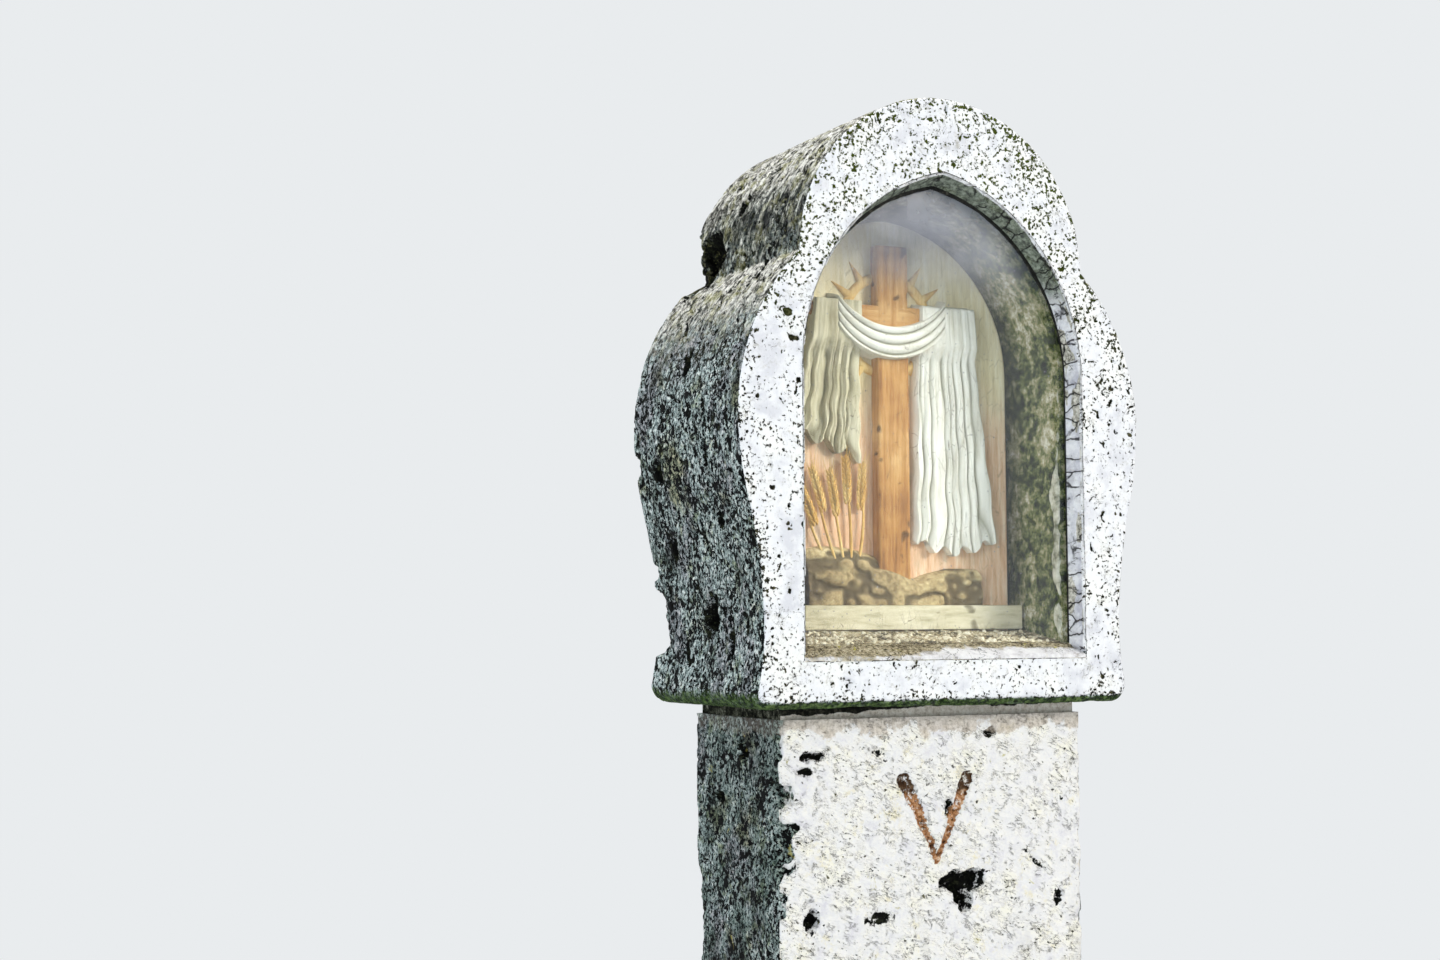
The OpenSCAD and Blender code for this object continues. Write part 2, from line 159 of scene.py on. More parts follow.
def skin(name, grid, ring=False, **values):
    """A mesh object from points of shape (rows, columns, 3), or (copies, rows, columns, 3) for many alike.
    Each value is an array of the grid's shape and becomes a number per vertex that materials can read."""
    copies = grid if grid.ndim == 4 else grid[None]
    count, rows, columns = copies.shape[:3]
    points = copies.reshape(-1, 3)
    one = quads_of(rows, columns, ring)
    if signed_volume(copies[0].reshape(-1, 3), one) < 0:
        one = one[:, ::-1]
    quads = (one[None] + (np.arange(count) * rows * columns)[:, None, None]).reshape(-1, 4)
    mesh = bpy.data.meshes.new(name)
    mesh.vertices.add(len(points))
    mesh.vertices.foreach_set("co", points.astype(np.float32).ravel())
    mesh.loops.add(quads.size)
    mesh.loops.foreach_set("vertex_index", quads.astype(np.int32).ravel())
    mesh.polygons.add(len(quads))
    mesh.polygons.foreach_set("loop_start", np.arange(0, quads.size, 4, dtype=np.int32))
    mesh.polygons.foreach_set("use_smooth", np.ones(len(quads), bool))
    mesh.update(calc_edges=True)
    mesh.set_sharp_from_angle(angle=SHARP_ANGLE)
    for key, value in values.items():
        data = mesh.attributes.new(key, "FLOAT", "POINT").data
        data.foreach_set("value", np.broadcast_to(value, copies.shape[:-1]).astype(np.float32).ravel())
    piece = bpy.data.objects.new(name, mesh)
    bpy.context.scene.collection.objects.link(piece)
    print(f"{name}: {len(points)} points, {2 * len(quads)} triangles")
    return piece


def dress(piece, node, material):
    """Hands a piece over: it rides on the shrine, stands for a node of the model, and takes a slot's
    finish."""
    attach(piece, "root")
    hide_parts(node)
    piece.data.materials.clear()
    piece.data.materials.append(material)
    return piece


# %% [markdown]
# ## Outlines
# The head, the niche, the pane and the relief board are all flat outlines first, drawn in X and Z. An
# outline is a closed path that starts at the middle of its foot and runs round anticlockwise as seen from
# the front. The head's side is a chain of arcs, as a mason would set it out with a compass.

# %% Tools for outlines
def corners(node):
    """The lowest and highest corner of a node of the model, as two arrays."""
    return tuple(np.array(corner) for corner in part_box(node))


def arc(x, z, radius, start, end, steps=24):
    """Points on a circle round (x, z), from one angle to another in degrees."""
    angle = np.radians(np.linspace(start, end, steps))
    return in_space(x + radius * np.cos(angle), z + radius * np.sin(angle))


def mirrored(half):
    """A closed outline from its right half, which runs from the foot up to the top."""
    return np.concatenate([half, half[::-1] * (-1, 1)])


def spaced(path, count):
    """Points at equal steps along a closed path: its length is added up, and each step is read off it."""
    loop = np.concatenate([path, path[:1]])
    step = np.linalg.norm(np.diff(loop, axis=0), axis=1)
    along = np.concatenate([[0], np.cumsum(step)])
    wanted = np.arange(count) * along[-1] / count
    return np.stack([np.interp(wanted, along, loop[:, i]) for i in range(2)], axis=1)


def outward(path):
    """Directions square to a closed path, pointing out of it: the step between a point's neighbours, turned
    by 90 degrees and averaged once with the directions beside it."""
    step = np.roll(path, -1, axis=0) - np.roll(path, 1, axis=0)
    square = in_space(step[:, 1], -step[:, 0])
    square = square + 0.5 * (np.roll(square, 1, axis=0) + np.roll(square, -1, axis=0))
    return square / np.linalg.norm(square, axis=1, keepdims=True)


def along_rays(path, guide, centre):
    """Where the rays from the centre through a guide's points meet a path that goes round the same
    centre."""
    dense = spaced(path, 6000) - centre
    angle = np.unwrap(np.arctan2(dense[:, 1], dense[:, 0]))
    reach = np.linalg.norm(dense, axis=1)
    ray = guide - centre
    wanted = np.arctan2(ray[:, 1], ray[:, 0])
    found = np.interp(wanted, angle, reach, period=2 * np.pi)
    return centre + found[:, None] * ray / np.linalg.norm(ray, axis=1, keepdims=True)


def pointed_arch(width, foot, spring, top):
    """Straight jambs up to the springing, then two arcs that meet at the apex. An arc's centre lies on the
    springing line, as far beyond the middle as makes it pass through both the springing and the apex."""
    rise = top - spring
    beyond = (rise * rise - width * width / 4) / width
    radius = width / 2 + beyond
    turn = math.degrees(math.atan2(rise, beyond))
    curve = arc(-beyond, spring, radius, 0, turn, 60)
    jamb = np.array([[0, foot], [width / 2 - 1e-4, foot], [width / 2, foot + 1e-4]])
    return mirrored(np.concatenate([jamb, curve]))


def at_depth(path, depth):
    """Points in space from points of an outline and a depth for each."""
    return in_space(path[..., 0], depth, path[..., 1])


# %% [markdown]
# The head's largest width, height and depth are read from the model. The others are the mason's marks.

# %% Set out the head stone
head_low, head_high = corners("head_stone")
FACE_Y, BACK_Y = head_low[1], head_high[1]
HEAD_Z = head_low[2]
BULGE_W = head_high[0] - head_low[0]
HEAD_H = head_high[2] - HEAD_Z
HEAD_W, WAIST_W, LOBE_W = 0.500, 0.482, 0.387
BULGE_Z, WAIST_Z, SPRING_Z = 0.330, 0.085, 0.385
SIDE_ROLL, FRONT_ROLL = 0.020, 0.012
TAPER_SHARE = 0.4


def head_outline():
    """Top lobe, shoulder, bulge, hollow, flare and rolled foot as arcs that follow each other."""
    lobe_r = LOBE_W / 2
    lobe_z = HEAD_H - lobe_r
    out, up = BULGE_W / 2 - lobe_r, lobe_z - BULGE_Z
    shoulder_r = (out * out + up * up) / (2 * out)
    shoulder_x = BULGE_W / 2 - shoulder_r
    shoulder_turn = math.degrees(math.atan2(up, lobe_r - shoulder_x))
    taper = BULGE_Z - WAIST_Z
    taper_turn = 2 * math.atan((BULGE_W - WAIST_W) / 2 / taper)
    bulge_r = TAPER_SHARE * taper / math.sin(taper_turn)
    hollow_r = (1 - TAPER_SHARE) * taper / math.sin(taper_turn)
    turn = math.degrees(taper_turn)
    flare_out, flare_up = (HEAD_W - WAIST_W) / 2, WAIST_Z - SIDE_ROLL
    flare_r = (flare_out**2 + flare_up**2) / (2 * flare_out)
    flare_turn = math.degrees(math.asin(flare_up / flare_r))
    half = np.concatenate([
        [[0, 0]],
        arc(HEAD_W / 2 - SIDE_ROLL, SIDE_ROLL, SIDE_ROLL, -90, 0),
        arc(WAIST_W / 2 + flare_r, WAIST_Z, flare_r, 180 + flare_turn, 180),
        arc(WAIST_W / 2 + hollow_r, WAIST_Z, hollow_r, 180, 180 - turn),
        arc(BULGE_W / 2 - bulge_r, BULGE_Z, bulge_r, -turn, 0),
        arc(shoulder_x, BULGE_Z, shoulder_r, 0, shoulder_turn, 40),
        arc(0, lobe_z, lobe_r, 0, 90, 60)[:-1],
    ])
    return mirrored(half) + (0, HEAD_Z)


coat_low, coat_high = corners("reveal_coat")
plaster_low, plaster_high = corners("niche_plaster")
sill_low, sill_high = corners("niche_sill")
board_low, board_high = corners("relief_board")
CENTRE = np.array([0, HEAD_Z + BULGE_Z])
RING_COLUMNS = 1280
SHOULDER_Y = plaster_low[1] + 0.0006
outer = spaced(head_outline(), RING_COLUMNS)


def arch_points(width, foot, top):
    """The points of a pointed arch on the same rays as the head's own outline."""
    return along_rays(pointed_arch(width, foot, HEAD_Z + SPRING_Z, top), outer, CENTRE)


rebate = arch_points(coat_high[0] - coat_low[0], sill_low[2], coat_high[2])
chamber = arch_points(plaster_high[0] - plaster_low[0], board_low[2], plaster_high[2])
print("head outline:", len(outer), "points, steps of", np.linalg.norm(outer[1] - outer[0]).round(5), "m")

# %% [markdown]
# ## How the weather wears the stone
# The real head is cut from tufa, a stone full of pores. Its front has been limewashed again and again,
# which fills the small pores and leaves round pits, more of them towards the top. The sides were never
# washed: rain has opened the layers of the stone into long upright slots, and soot and algae have blackened
# them. A worn surface is the sawn one pushed inwards by a depth, and the depth is a function of the place
# and of the way the surface faces. It is never pushed outwards, so the stone keeps the model's size.

# %% Holes and bites of the head stone
# Holes in the sides: side, hundredths of the depth and of the height; half width, half height, depth in mm
SIDE_HOLES = (
    (-1, 46, 15, 25, 21, 22), (-1, 28, 11, 5, 28, 9), (-1, 77, 39, 12, 17, 10), (-1, 28, 30, 8, 11, 7),
    (-1, 32, 41, 6, 17, 8), (-1, 81, 77, 49, 29, 26), (-1, 88, 73, 30, 26, 22), (-1, 52, 56, 9, 22, 8),
    (-1, 75, 26, 10, 16, 8), (-1, 60, 84, 12, 16, 8), (1, 60, 21, 12, 24, 12), (1, 43, 42, 8, 34, 9),
    (1, 71, 75, 18, 16, 11), (1, 31, 13, 9, 14, 9), (1, 83, 57, 10, 20, 10), (1, 40, 86, 13, 15, 8),
)
# Holes in the back: hundredths of the width from the middle and of the height; then as above
BACK_HOLES = (
    (-24, 25, 22, 16, 12), (12, 42, 14, 26, 10), (26, 18, 12, 12, 8), (-8, 66, 16, 12, 9),
    (4, 12, 18, 10, 8), (-30, 48, 10, 20, 8), (16, 80, 12, 14, 8),
)
# Bites out of the rear arrises: side, hundredths of the height; half the length and the depth in mm
REAR_BITES = (
    (-1, 13.4, 36, 25), (-1, 22.3, 11, 11), (-1, 40.3, 15, 13), (-1, 76.5, 34, 16), (1, 33, 24, 14),
    (1, 58, 16, 10),
)
MM = 0.001


def half_width(z):
    """Half the head's width at a height, read off the right half of its outline."""
    right = outer[: RING_COLUMNS // 2]
    return np.interp(z, right[:, 1], right[:, 0])


def head_holes():
    """Middle, reach along X, Y and Z, and depth of every hole in the head, in metres."""
    for side, back, up, half_w, half_h, deep in SIDE_HOLES:
        z = HEAD_Z + HEAD_H * up / 100
        middle = (side * half_width(z), FACE_Y + (BACK_Y - FACE_Y) * back / 100, z)
        yield middle, (2.5 * deep * MM, half_w * MM, half_h * MM), deep * MM
    for across, up, half_w, half_h, deep in BACK_HOLES:
        middle = (BULGE_W * across / 100, BACK_Y, HEAD_Z + HEAD_H * up / 100)
        yield middle, (half_w * MM, 2.5 * deep * MM, half_h * MM), deep * MM


def dents(points, holes, seed):
    """Depth of the deepest hole at each point, and how far inside a hole it lies: 1 in the middle and 0
    past an ellipsoid's skin, which noise has bent so that the rim is ragged."""
    inside = np.zeros(points.shape[:-1])
    depth = np.zeros(points.shape[:-1])
    for number, (middle, reach, deep) in enumerate(holes):
        away = (((points - middle) / reach) ** 2).sum(axis=-1)
        near = away < 3
        bend = rough(points[near], 0.9 * min(reach), seed + number, 4)
        here = smooth(1.8 * (1.05 - away[near] + 1.3 * bend))
        inside[near] = np.maximum(inside[near], np.clip(0.8 * (1.75 - away[near] + 1.3 * bend), 0, 1))
        depth[near] = np.maximum(depth[near], deep * here)
    return depth, inside


def bitten(points, bites, seed):
    """Points near upright arrises, moved along the diagonal to where pieces broke off, and how much each
    moved. A bite is a corner, the way it points, a height, and half its length and its depth in mm. The
    break lies that deep below the corner in the middle of the bite, and less deep towards its ends."""
    fresh = np.zeros(points.shape[:-1])
    for number, (corner, heading, place, half_length, deep) in enumerate(bites):
        grain = seed + 9 * number
        inward = -np.array([*heading, 0]) / math.sqrt(2)
        away = (points[..., :2] - corner) @ inward[:2]
        share = np.abs(points[..., 2] - place) / (half_length * MM)
        full = np.clip((1.15 - share + 0.50 * rough(points, 0.022, grain, 4)) / 0.45, 0, 1)
        broken = deep * MM * full * (0.95 + 0.50 * rough(points, 0.018, grain + 5, 4))
        push = np.maximum(broken - away, 0) * (away < 2.2 * (deep * MM))
        points = points + inward * push[..., None]
        fresh = np.maximum(fresh, np.clip(push / 0.003, 0, 1))
    return points, fresh


# %% Wear of the head stone
LEAN = 0.20


def head_wear(points, facing):
    """Depth of wear in metres, how hollow each place is, and how much limewash is left on it, from 0 to
    1."""
    front = np.clip(-facing[..., 1], 0, 1)
    height = np.clip((points[..., 2] - HEAD_Z) / HEAD_H, 0, 1)
    sheared = points - in_space(0, LEAN * (points[..., 2] - CENTRE[1]), 0)
    side = 1 - front
    swell = 0.0005 * (1 + rough(points, 0.13, 1, 3)) + side * 0.0014 * smooth(2 * rough(points, 0.040, 3, 4))
    grain = 0.0003 * (1 + rough(points, 0.009, 5, 3))
    small = pores(sheared, (0.0080, 0.0080, 0.0090), 0.14 + 0.30 * height, 11, 0.8)
    large = pores(sheared, (0.013, 0.013, 0.015), 0.02 + 0.05 * height, 35, 0.6)
    slots = pores(sheared, (0.0085, 0.0085, 0.019), 0.50, 51, 0.8)
    wide_slots = pores(sheared, (0.018, 0.018, 0.042), 0.20, 61, 0.9)
    seams = np.clip(1 - np.abs(rough(sheared, (0.014, 0.014, 0.040), 71, 4)) / 0.12, 0, 1)
    edge = np.clip(1 - np.abs(front - 0.5) * 2.2, 0, 1)
    chipped = edge * np.clip(1.6 * rough(points, (0.020, 0.020, 0.026), 91, 4) - 0.15, 0, 1)
    hole_depth, holes = dents(points, head_holes(), 200)
    depth = swell + grain + front * (0.0026 * small + 0.0034 * large) + 0.0034 * chipped
    depth = depth + side * (0.0030 * slots + 0.0050 * wide_slots + 0.0018 * seams)
    hollow = front * np.maximum(1.1 * small, 1.3 * large) + side * np.maximum(
        np.maximum(1.1 * slots, 1.3 * wide_slots), 0.7 * seams
    )
    hollow = np.maximum(np.maximum(hollow, 0.9 * chipped), holes)
    foot = smooth((points[..., 2] - HEAD_Z - 0.004) / 0.010)
    wash = smooth(3.2 * front - 1.9) * foot * (1 - 0.8 * chipped)
    return np.maximum(depth, depth * 0.5 + hole_depth), np.clip(hollow, 0, 1), wash


def worn(wear, points, facing, strength):
    """Points pushed in against the way they face, by the depth of wear times a strength, and its other
    values."""
    depth, *rest = wear(points, facing)
    return points - facing * (depth * strength)[..., None], *rest


# %% [markdown]
# ### The front of the head
# This is the piece that faces the visitor, so it gets the finest grid. It is a ring round the niche: its
# rows start 40 mm back on the outer side, come forward, roll over the arris, cross the face to the niche,
# roll over that edge too and run back along the reveal to where the pane stands. The last row joins the
# first inside the stone, where nobody sees it.

# %% Rows of the head's front
SEAM_Y = FACE_Y + 0.040
ARRIS_R, NICHE_ARRIS_R = 0.0045, 0.0012
outer_out = outward(outer)
rebate_in = -outward(rebate)


def arris_radius(path, rolled):
    """Radius of the edge: small round the sides and the top, and that of the rolled foot at the bottom."""
    foot = 1 - smooth((path[:, 1] - HEAD_Z - 0.006) / 0.030)
    return ARRIS_R + (rolled - ARRIS_R) * foot


def flank_rows(path, out, depths):
    """Rows on the outer side: the outline at each depth, facing as the outline does."""
    place = at_depth(path[None], depths)
    facing = at_depth(np.broadcast_to(out, (len(depths), *out.shape)), 0.0)
    return place, facing


def turned_rows(path, out, radius, y, side, steps):
    """Rows that roll over an edge by a quarter turn, from facing sideways to facing along Y, by side -1 or
    1."""
    angle = (np.arange(steps)[:, None] + 0.5) * (math.pi / 2 / steps)
    inset = path[None] - out[None] * (radius * (1 - np.cos(angle)))[..., None]
    place = at_depth(inset, y - side * radius * (1 - np.sin(angle)))
    facing = at_depth(out[None] * np.cos(angle)[..., None], side * np.sin(angle))
    return place, facing


def face_rows(start, end, y, side, shares):
    """Rows across a flat face, at the given shares of the way from one outline to another."""
    share = np.asarray(shares)[:, None, None]
    place = at_depth(start[None] + share * (end - start)[None], y)
    return place, np.broadcast_to((0.0, side, 0.0), place.shape)


def stack_rows(*bands):
    """The places, facings and strengths of wear of several bands, one under the other."""
    filled = [(*rows, np.full(rows[0].shape[:2], strength)) for rows, strength in bands]
    return tuple(np.concatenate(part) for part in zip(*filled))


def share_odd(rows):
    """On the shared seam every second column lies midway between its neighbours, as the coarser piece has
    none."""
    rows[0, 1::2] = (rows[0, 0::2] + np.roll(rows[0, 0::2], -1, axis=0)) / 2
    return rows


FULL_WEAR, EDGE_WEAR, HIDDEN_WEAR = 1.0, 0.5, 0.05
face_shares = np.linspace(0.01, 0.99, 37)
front_r = arris_radius(outer, FRONT_ROLL)
face_edge = outer - outer_out * front_r[:, None]
niche_edge = rebate - rebate_in * NICHE_ARRIS_R
front_depths = SEAM_Y + np.linspace(0, 1, 15)[:, None] * (FACE_Y + front_r - SEAM_Y)
reveal_depths = np.linspace(FACE_Y + NICHE_ARRIS_R, SHOULDER_Y, 4)[:, None]
niche_roll = turned_rows(rebate, rebate_in, NICHE_ARRIS_R, FACE_Y, -1, 3)
front_rows = stack_rows(
    (flank_rows(outer, outer_out, front_depths), FULL_WEAR),
    (turned_rows(outer, outer_out, front_r, FACE_Y, -1, 6), FULL_WEAR),
    (face_rows(face_edge, niche_edge, FACE_Y, -1, face_shares), FULL_WEAR),
    (tuple(part[::-1] for part in niche_roll), EDGE_WEAR),
    (flank_rows(rebate, rebate_in, reveal_depths), HIDDEN_WEAR),
)
front_grid, front_hollow, front_wash = worn(head_wear, *front_rows)
front_rim = np.concatenate([np.ones(21), np.exp(-6 * face_shares), np.zeros(7)])[:, None]
head_front = skin(
    "head_front", share_odd(front_grid), ring=True, hollow=front_hollow, wash=front_wash,
    rim=front_rim, sky=np.clip(front_rows[1][..., 2], 0, 1),
)

# %% [markdown]
# ### The sides and the back of the head
# The sides are a ring of rows too: from the seam they run back to the rear arris, over it and in across the
# back, and the last row joins the first inside the stone. Big pieces have broken off the rear arris, so
# before the wear is added, points near it are moved along its diagonal to where the break is.
#
# The back and the chamber of the niche share one coarser sheet. It starts in the middle of the back, runs
# out, turns forward inside the stone, comes out behind the pane and lines the chamber. The chamber was
# never in the rain: its walls are damp and crumbly.

# %% Rows of the head's sides
BACK_SHARE, INNER_SHARE = 0.20, 0.16
side_outer, side_out, side_r = outer[::2], outer_out[::2], front_r[::2]
back_edge = side_outer - side_out * side_r[:, None]
side_depths = SEAM_Y + np.linspace(0, 1, 84)[:, None] * (BACK_Y - side_r - SEAM_Y)
inner_row = side_outer + INNER_SHARE * (CENTRE - side_outer)
side_rows = stack_rows(
    (flank_rows(inner_row, side_out, np.array([[SEAM_Y]])), HIDDEN_WEAR),
    (flank_rows(side_outer, side_out, side_depths), FULL_WEAR),
    (turned_rows(side_outer, side_out, side_r, BACK_Y, 1, 5), FULL_WEAR),
    (face_rows(back_edge, CENTRE, BACK_Y, 1, np.linspace(0.008, BACK_SHARE, 13)), FULL_WEAR),
)
rear_bites = [
    (in_space(side * half_width(side_rows[0][..., 2]), BACK_Y), (side, 1), HEAD_Z + HEAD_H * up / 100, *rest)
    for side, up, *rest in REAR_BITES
]
side_place, fresh_break = bitten(side_rows[0], rear_bites, 220)
side_grid, side_hollow, side_wash = worn(head_wear, side_place, *side_rows[1:])
side_wash = side_wash * (1 - fresh_break)
side_sky = np.clip(side_rows[1][..., 2], 0, 1)
head_sides = skin("head_sides", side_grid, ring=True, hollow=side_hollow, wash=side_wash, sky=side_sky)


# %% Rows of the back and the chamber
def chamber_wear(points, facing):
    """A damp wall: low swellings, a crumbly grain and a few pores."""
    crumbs = pores(points, 0.009, 0.5, 301)
    depth = 0.0006 * (1 + rough(points, 0.050, 310, 3)) + 0.0005 * (1 + rough(points, 0.007, 315, 3))
    return depth + 0.0012 * crumbs, crumbs


coarse = slice(None, None, 4)
back_shares = np.linspace(0.03, 1 - BACK_SHARE + 0.004, 26)
back_rows = stack_rows((face_rows(CENTRE, back_edge[::2], BACK_Y, 1, back_shares), FULL_WEAR))
back_grid, back_hollow, back_wash = worn(head_wear, *back_rows)
chamber_in = -outward(chamber)[coarse]
chamber_depths = np.concatenate([np.linspace(SHOULDER_Y, board_low[1], 44), [board_high[1]]])[:, None]
wall_rows = stack_rows((flank_rows(chamber[coarse], chamber_in, chamber_depths), FULL_WEAR))
wall_grid, wall_hollow = worn(chamber_wear, *wall_rows)
shoulder_row = at_depth(rebate[coarse][None], SHOULDER_Y)
none = np.zeros((1, RING_COLUMNS // 4))
head_back = skin(
    "head_back", np.concatenate([back_grid, shoulder_row, wall_grid]),
    hollow=np.concatenate([back_hollow, none, wall_hollow]),
    wash=np.concatenate([back_wash, none, 0 * wall_hollow]),
    moss=np.concatenate([0 * back_wash, none + 1, 0 * wall_hollow + 1]),
)

# %% [markdown]
# ## The pillar
# The pillar is one rough stone with slightly rounded arrises. A block like this is an outline in X and Y
# carried up along Z. Its upper part, which the visitor sees from near, gets a fine grid, and the shaft
# below a coarser one; they meet in a hidden joint on a shared row.
#
# The numeral is cut as a groove whose depth falls off from the middle of each stroke, as a chisel leaves
# it.

# %% Set out the pillar and its wear
pillar_low, pillar_high = corners("pillar_stone")
PILLAR_TOP = pillar_high[2]
NUMERAL_STROKES = (
    ((-0.0415, -0.072), (0.0035, -0.165), 0.0095), ((0.0445, -0.072), (0.0035, -0.165), 0.0088),
)
NUMERAL_DEPTH = 0.006
# Holes: place across and distance below the top, or side and hundredths of the depth; then as on the head
PILLAR_FRONT_HOLES = (
    (24, 192, 20, 14, 24), (49, 191, 18, 13, 20), (36, 208, 15, 17, 28), (-164, 224, 9, 13, 16),
    (-162, 42, 17, 5, 10), (-171, 59, 11, 4, 6), (77, 20, 11, 6, 6), (19, 107, 5, 10, 10),
    (-76, 227, 16, 7, 4), (169, 217, 6, 9, 6), (-120, 420, 16, 12, 12), (80, 560, 22, 13, 14),
    (-60, 820, 12, 12, 10), (120, 1050, 18, 12, 12),
)
PILLAR_BACK_HOLES = (
    (-80, 180, 20, 14, 12), (100, 90, 14, 12, 9), (40, 470, 18, 22, 12), (-110, 800, 16, 12, 10),
)
PILLAR_SIDE_HOLES = (
    (-1, 42, 38, 12, 15, 18), (-1, 69, 96, 10, 8, 9), (-1, 30, 480, 16, 24, 12), (-1, 62, 900, 14, 20, 10),
    (1, 68, 120, 16, 12, 10), (1, 40, 640, 16, 30, 10),
)
# Bites: the corner in X and Y, distance below the top, half the length, depth
PILLAR_BITES = (
    (-1, -1, 20, 24, 7), (-1, -1, 84, 12, 18), (-1, -1, 146, 34, 17), (-1, -1, 204, 13, 9),
    (-1, -1, 760, 36, 14), (-1, 1, 240, 74, 13), (1, -1, 215, 50, 4), (1, 1, 400, 34, 12),
)


def pillar_holes():
    """Middle, reach and depth of every hole in the pillar, in metres."""
    for holes, y in ((PILLAR_FRONT_HOLES, pillar_low[1]), (PILLAR_BACK_HOLES, pillar_high[1])):
        for x, below, half_w, half_h, deep in holes:
            reach = (half_w * MM, 2.5 * deep * MM, half_h * MM)
            yield (x * MM, y, PILLAR_TOP - below * MM), reach, deep * MM
    for side, back, below, half_w, half_h, deep in PILLAR_SIDE_HOLES:
        y = pillar_low[1] + (pillar_high[1] - pillar_low[1]) * back / 100
        middle = (side * pillar_high[0], y, PILLAR_TOP - below * MM)
        yield middle, (2.5 * deep * MM, half_w * MM, half_h * MM), deep * MM


def stroke_groove(x, z, start, end, half_width):
    """1 in the middle of a stroke and 0 past its edge: 1 minus the square of the distance from its line
    over its half width, which narrows to a third from the start of the stroke to its end."""
    start, end = np.array(start), np.array(end)
    line = end - start
    share = np.clip(((x - start[0]) * line[0] + (z - start[1]) * line[1]) / (line @ line), 0, 1)
    away = np.hypot(x - start[0] - share * line[0], z - start[1] - share * line[1])
    return np.clip(1 - (away / (half_width * (1 - 0.66 * share))) ** 2, 0, 1)


def pillar_wear(points, facing):
    """Depth of wear, how hollow each place is, how pale it is, and how deep in the numeral it lies."""
    front = np.clip(-facing[..., 1], 0, 1)
    below = points[..., 2] - PILLAR_TOP
    bend = 0.0030 * rough(points, 0.016, 401, 3)
    sheared = points + in_space(0.5 * points[..., 2], 0.5 * points[..., 2], 0.35 * points[..., 0])
    lumps = 0.0016 * (1 - front) * smooth(2 * rough(points, 0.030, 413, 3))
    swell = 0.0005 * (1 + rough(points, 0.085, 411, 3)) + lumps
    grain = 0.0004 * (1 + rough(sheared, (0.011, 0.011, 0.006), 415, 3))
    small = pores(sheared, (0.011, 0.011, 0.006), 0.06 + 0.30 * (1 - front), 421, 0.9)
    large = pores(sheared, (0.026, 0.026, 0.015), 0.03 + 0.20 * (1 - front), 431, 0.8)
    flakes = smooth((rough(sheared, (0.036, 0.036, 0.016), 441, 4) - 0.05) * 5)
    edge = smooth(1 - np.abs(np.abs(facing[..., 0]) - 0.5) * 2.1)
    chipped = edge * np.clip(1.8 * rough(points, (0.022, 0.022, 0.030), 451, 4) - 0.05, 0, 1)
    groove = np.zeros(front.shape)
    for stroke in NUMERAL_STROKES:
        groove = np.maximum(groove, stroke_groove(points[..., 0] + bend, below + bend, *stroke))
    groove = groove * (front > 0.9)
    hole_depth, holes = dents(points, pillar_holes(), 500)
    depth = swell + grain + 0.0018 * small + 0.0030 * large + 0.0014 * flakes + 0.0058 * chipped
    depth = np.maximum(depth, depth * 0.5 + hole_depth) + NUMERAL_DEPTH * np.sqrt(groove)
    hollow = np.clip(np.maximum(0.75 * small + 0.9 * large, holes) + 0.4 * chipped, 0, 1)
    pale = smooth(2.2 * front - 0.7) * (1 - 0.35 * chipped)
    return depth, hollow, pale, smooth(2.2 * groove)


def rounded_rectangle(low, high, radius):
    """A closed outline with four round corners, from the middle of its first side."""
    (x0, z0), (x1, z1) = low, high
    corner_arcs = [
        arc(x1 - radius, z0 + radius, radius, -90, 0, 8),
        arc(x1 - radius, z1 - radius, radius, 0, 90, 8),
        arc(x0 + radius, z1 - radius, radius, 90, 180, 8),
        arc(x0 + radius, z0 + radius, radius, 180, 270, 8),
    ]
    return np.concatenate([[[(x0 + x1) / 2, z0]], *corner_arcs])


def post_rows(low, high, radius, columns, levels):
    """A block that stands up: its outline in X and Y repeated at every level, with the way each point
    faces."""
    plan = spaced(rounded_rectangle(low[:2], high[:2], radius), columns)
    out = outward(plan)
    place = in_space(plan[:, 0], plan[:, 1], levels[:, None])
    facing = in_space(out[:, 0], out[:, 1], 0 * levels[:, None])
    return place, facing, np.ones(place.shape[:2])


PILLAR_COLUMNS, PILLAR_R = 500, 0.0045
SPLIT_Z = PILLAR_TOP - 0.400
pillar_bites = [
    ((x * pillar_high[0], y * pillar_high[1]), (x, y), PILLAR_TOP - below * MM, *rest)
    for x, y, below, *rest in PILLAR_BITES
]


def pillar_piece(name, levels, fine):
    """A stretch of the pillar, bitten and worn. The fine one shares its seam, the other has half the
    columns."""
    rows = post_rows(pillar_low, pillar_high, PILLAR_R, PILLAR_COLUMNS, levels)
    place, facing, strength = rows if fine else (part[:, ::2] for part in rows)
    place, fresh = bitten(place, pillar_bites, 540)
    fresh = fresh * smooth(0.9 + 2.4 * rough(place, 0.012, 571, 4))
    grid, hollow, wash, numeral = worn(pillar_wear, place, facing, strength)
    grid = share_odd(grid) if fine else grid
    return skin(name, grid, hollow=hollow, wash=wash * (1 - fresh), numeral=numeral)


pillar_top = pillar_piece("pillar_top", np.linspace(SPLIT_Z, PILLAR_TOP, 146), True)
pillar_shaft = pillar_piece("pillar_shaft", np.linspace(pillar_low[2], SPLIT_Z, 116), False)

# %% [markdown]
# ## Foot stone and mortar joints
# The foot stone is plain: a low block with a weathered slope round its top. Its rows run from its underside
# up the sides and over the slope, so it is one closed sheet. Two thin beds of mortar lie a little behind
# the faces of the stones.

# %% Foot stone and joints
foot_low, foot_high = corners("foot_stone")
WASH_H, FOOT_R, FOOT_COLUMNS = 0.024, 0.010, 240


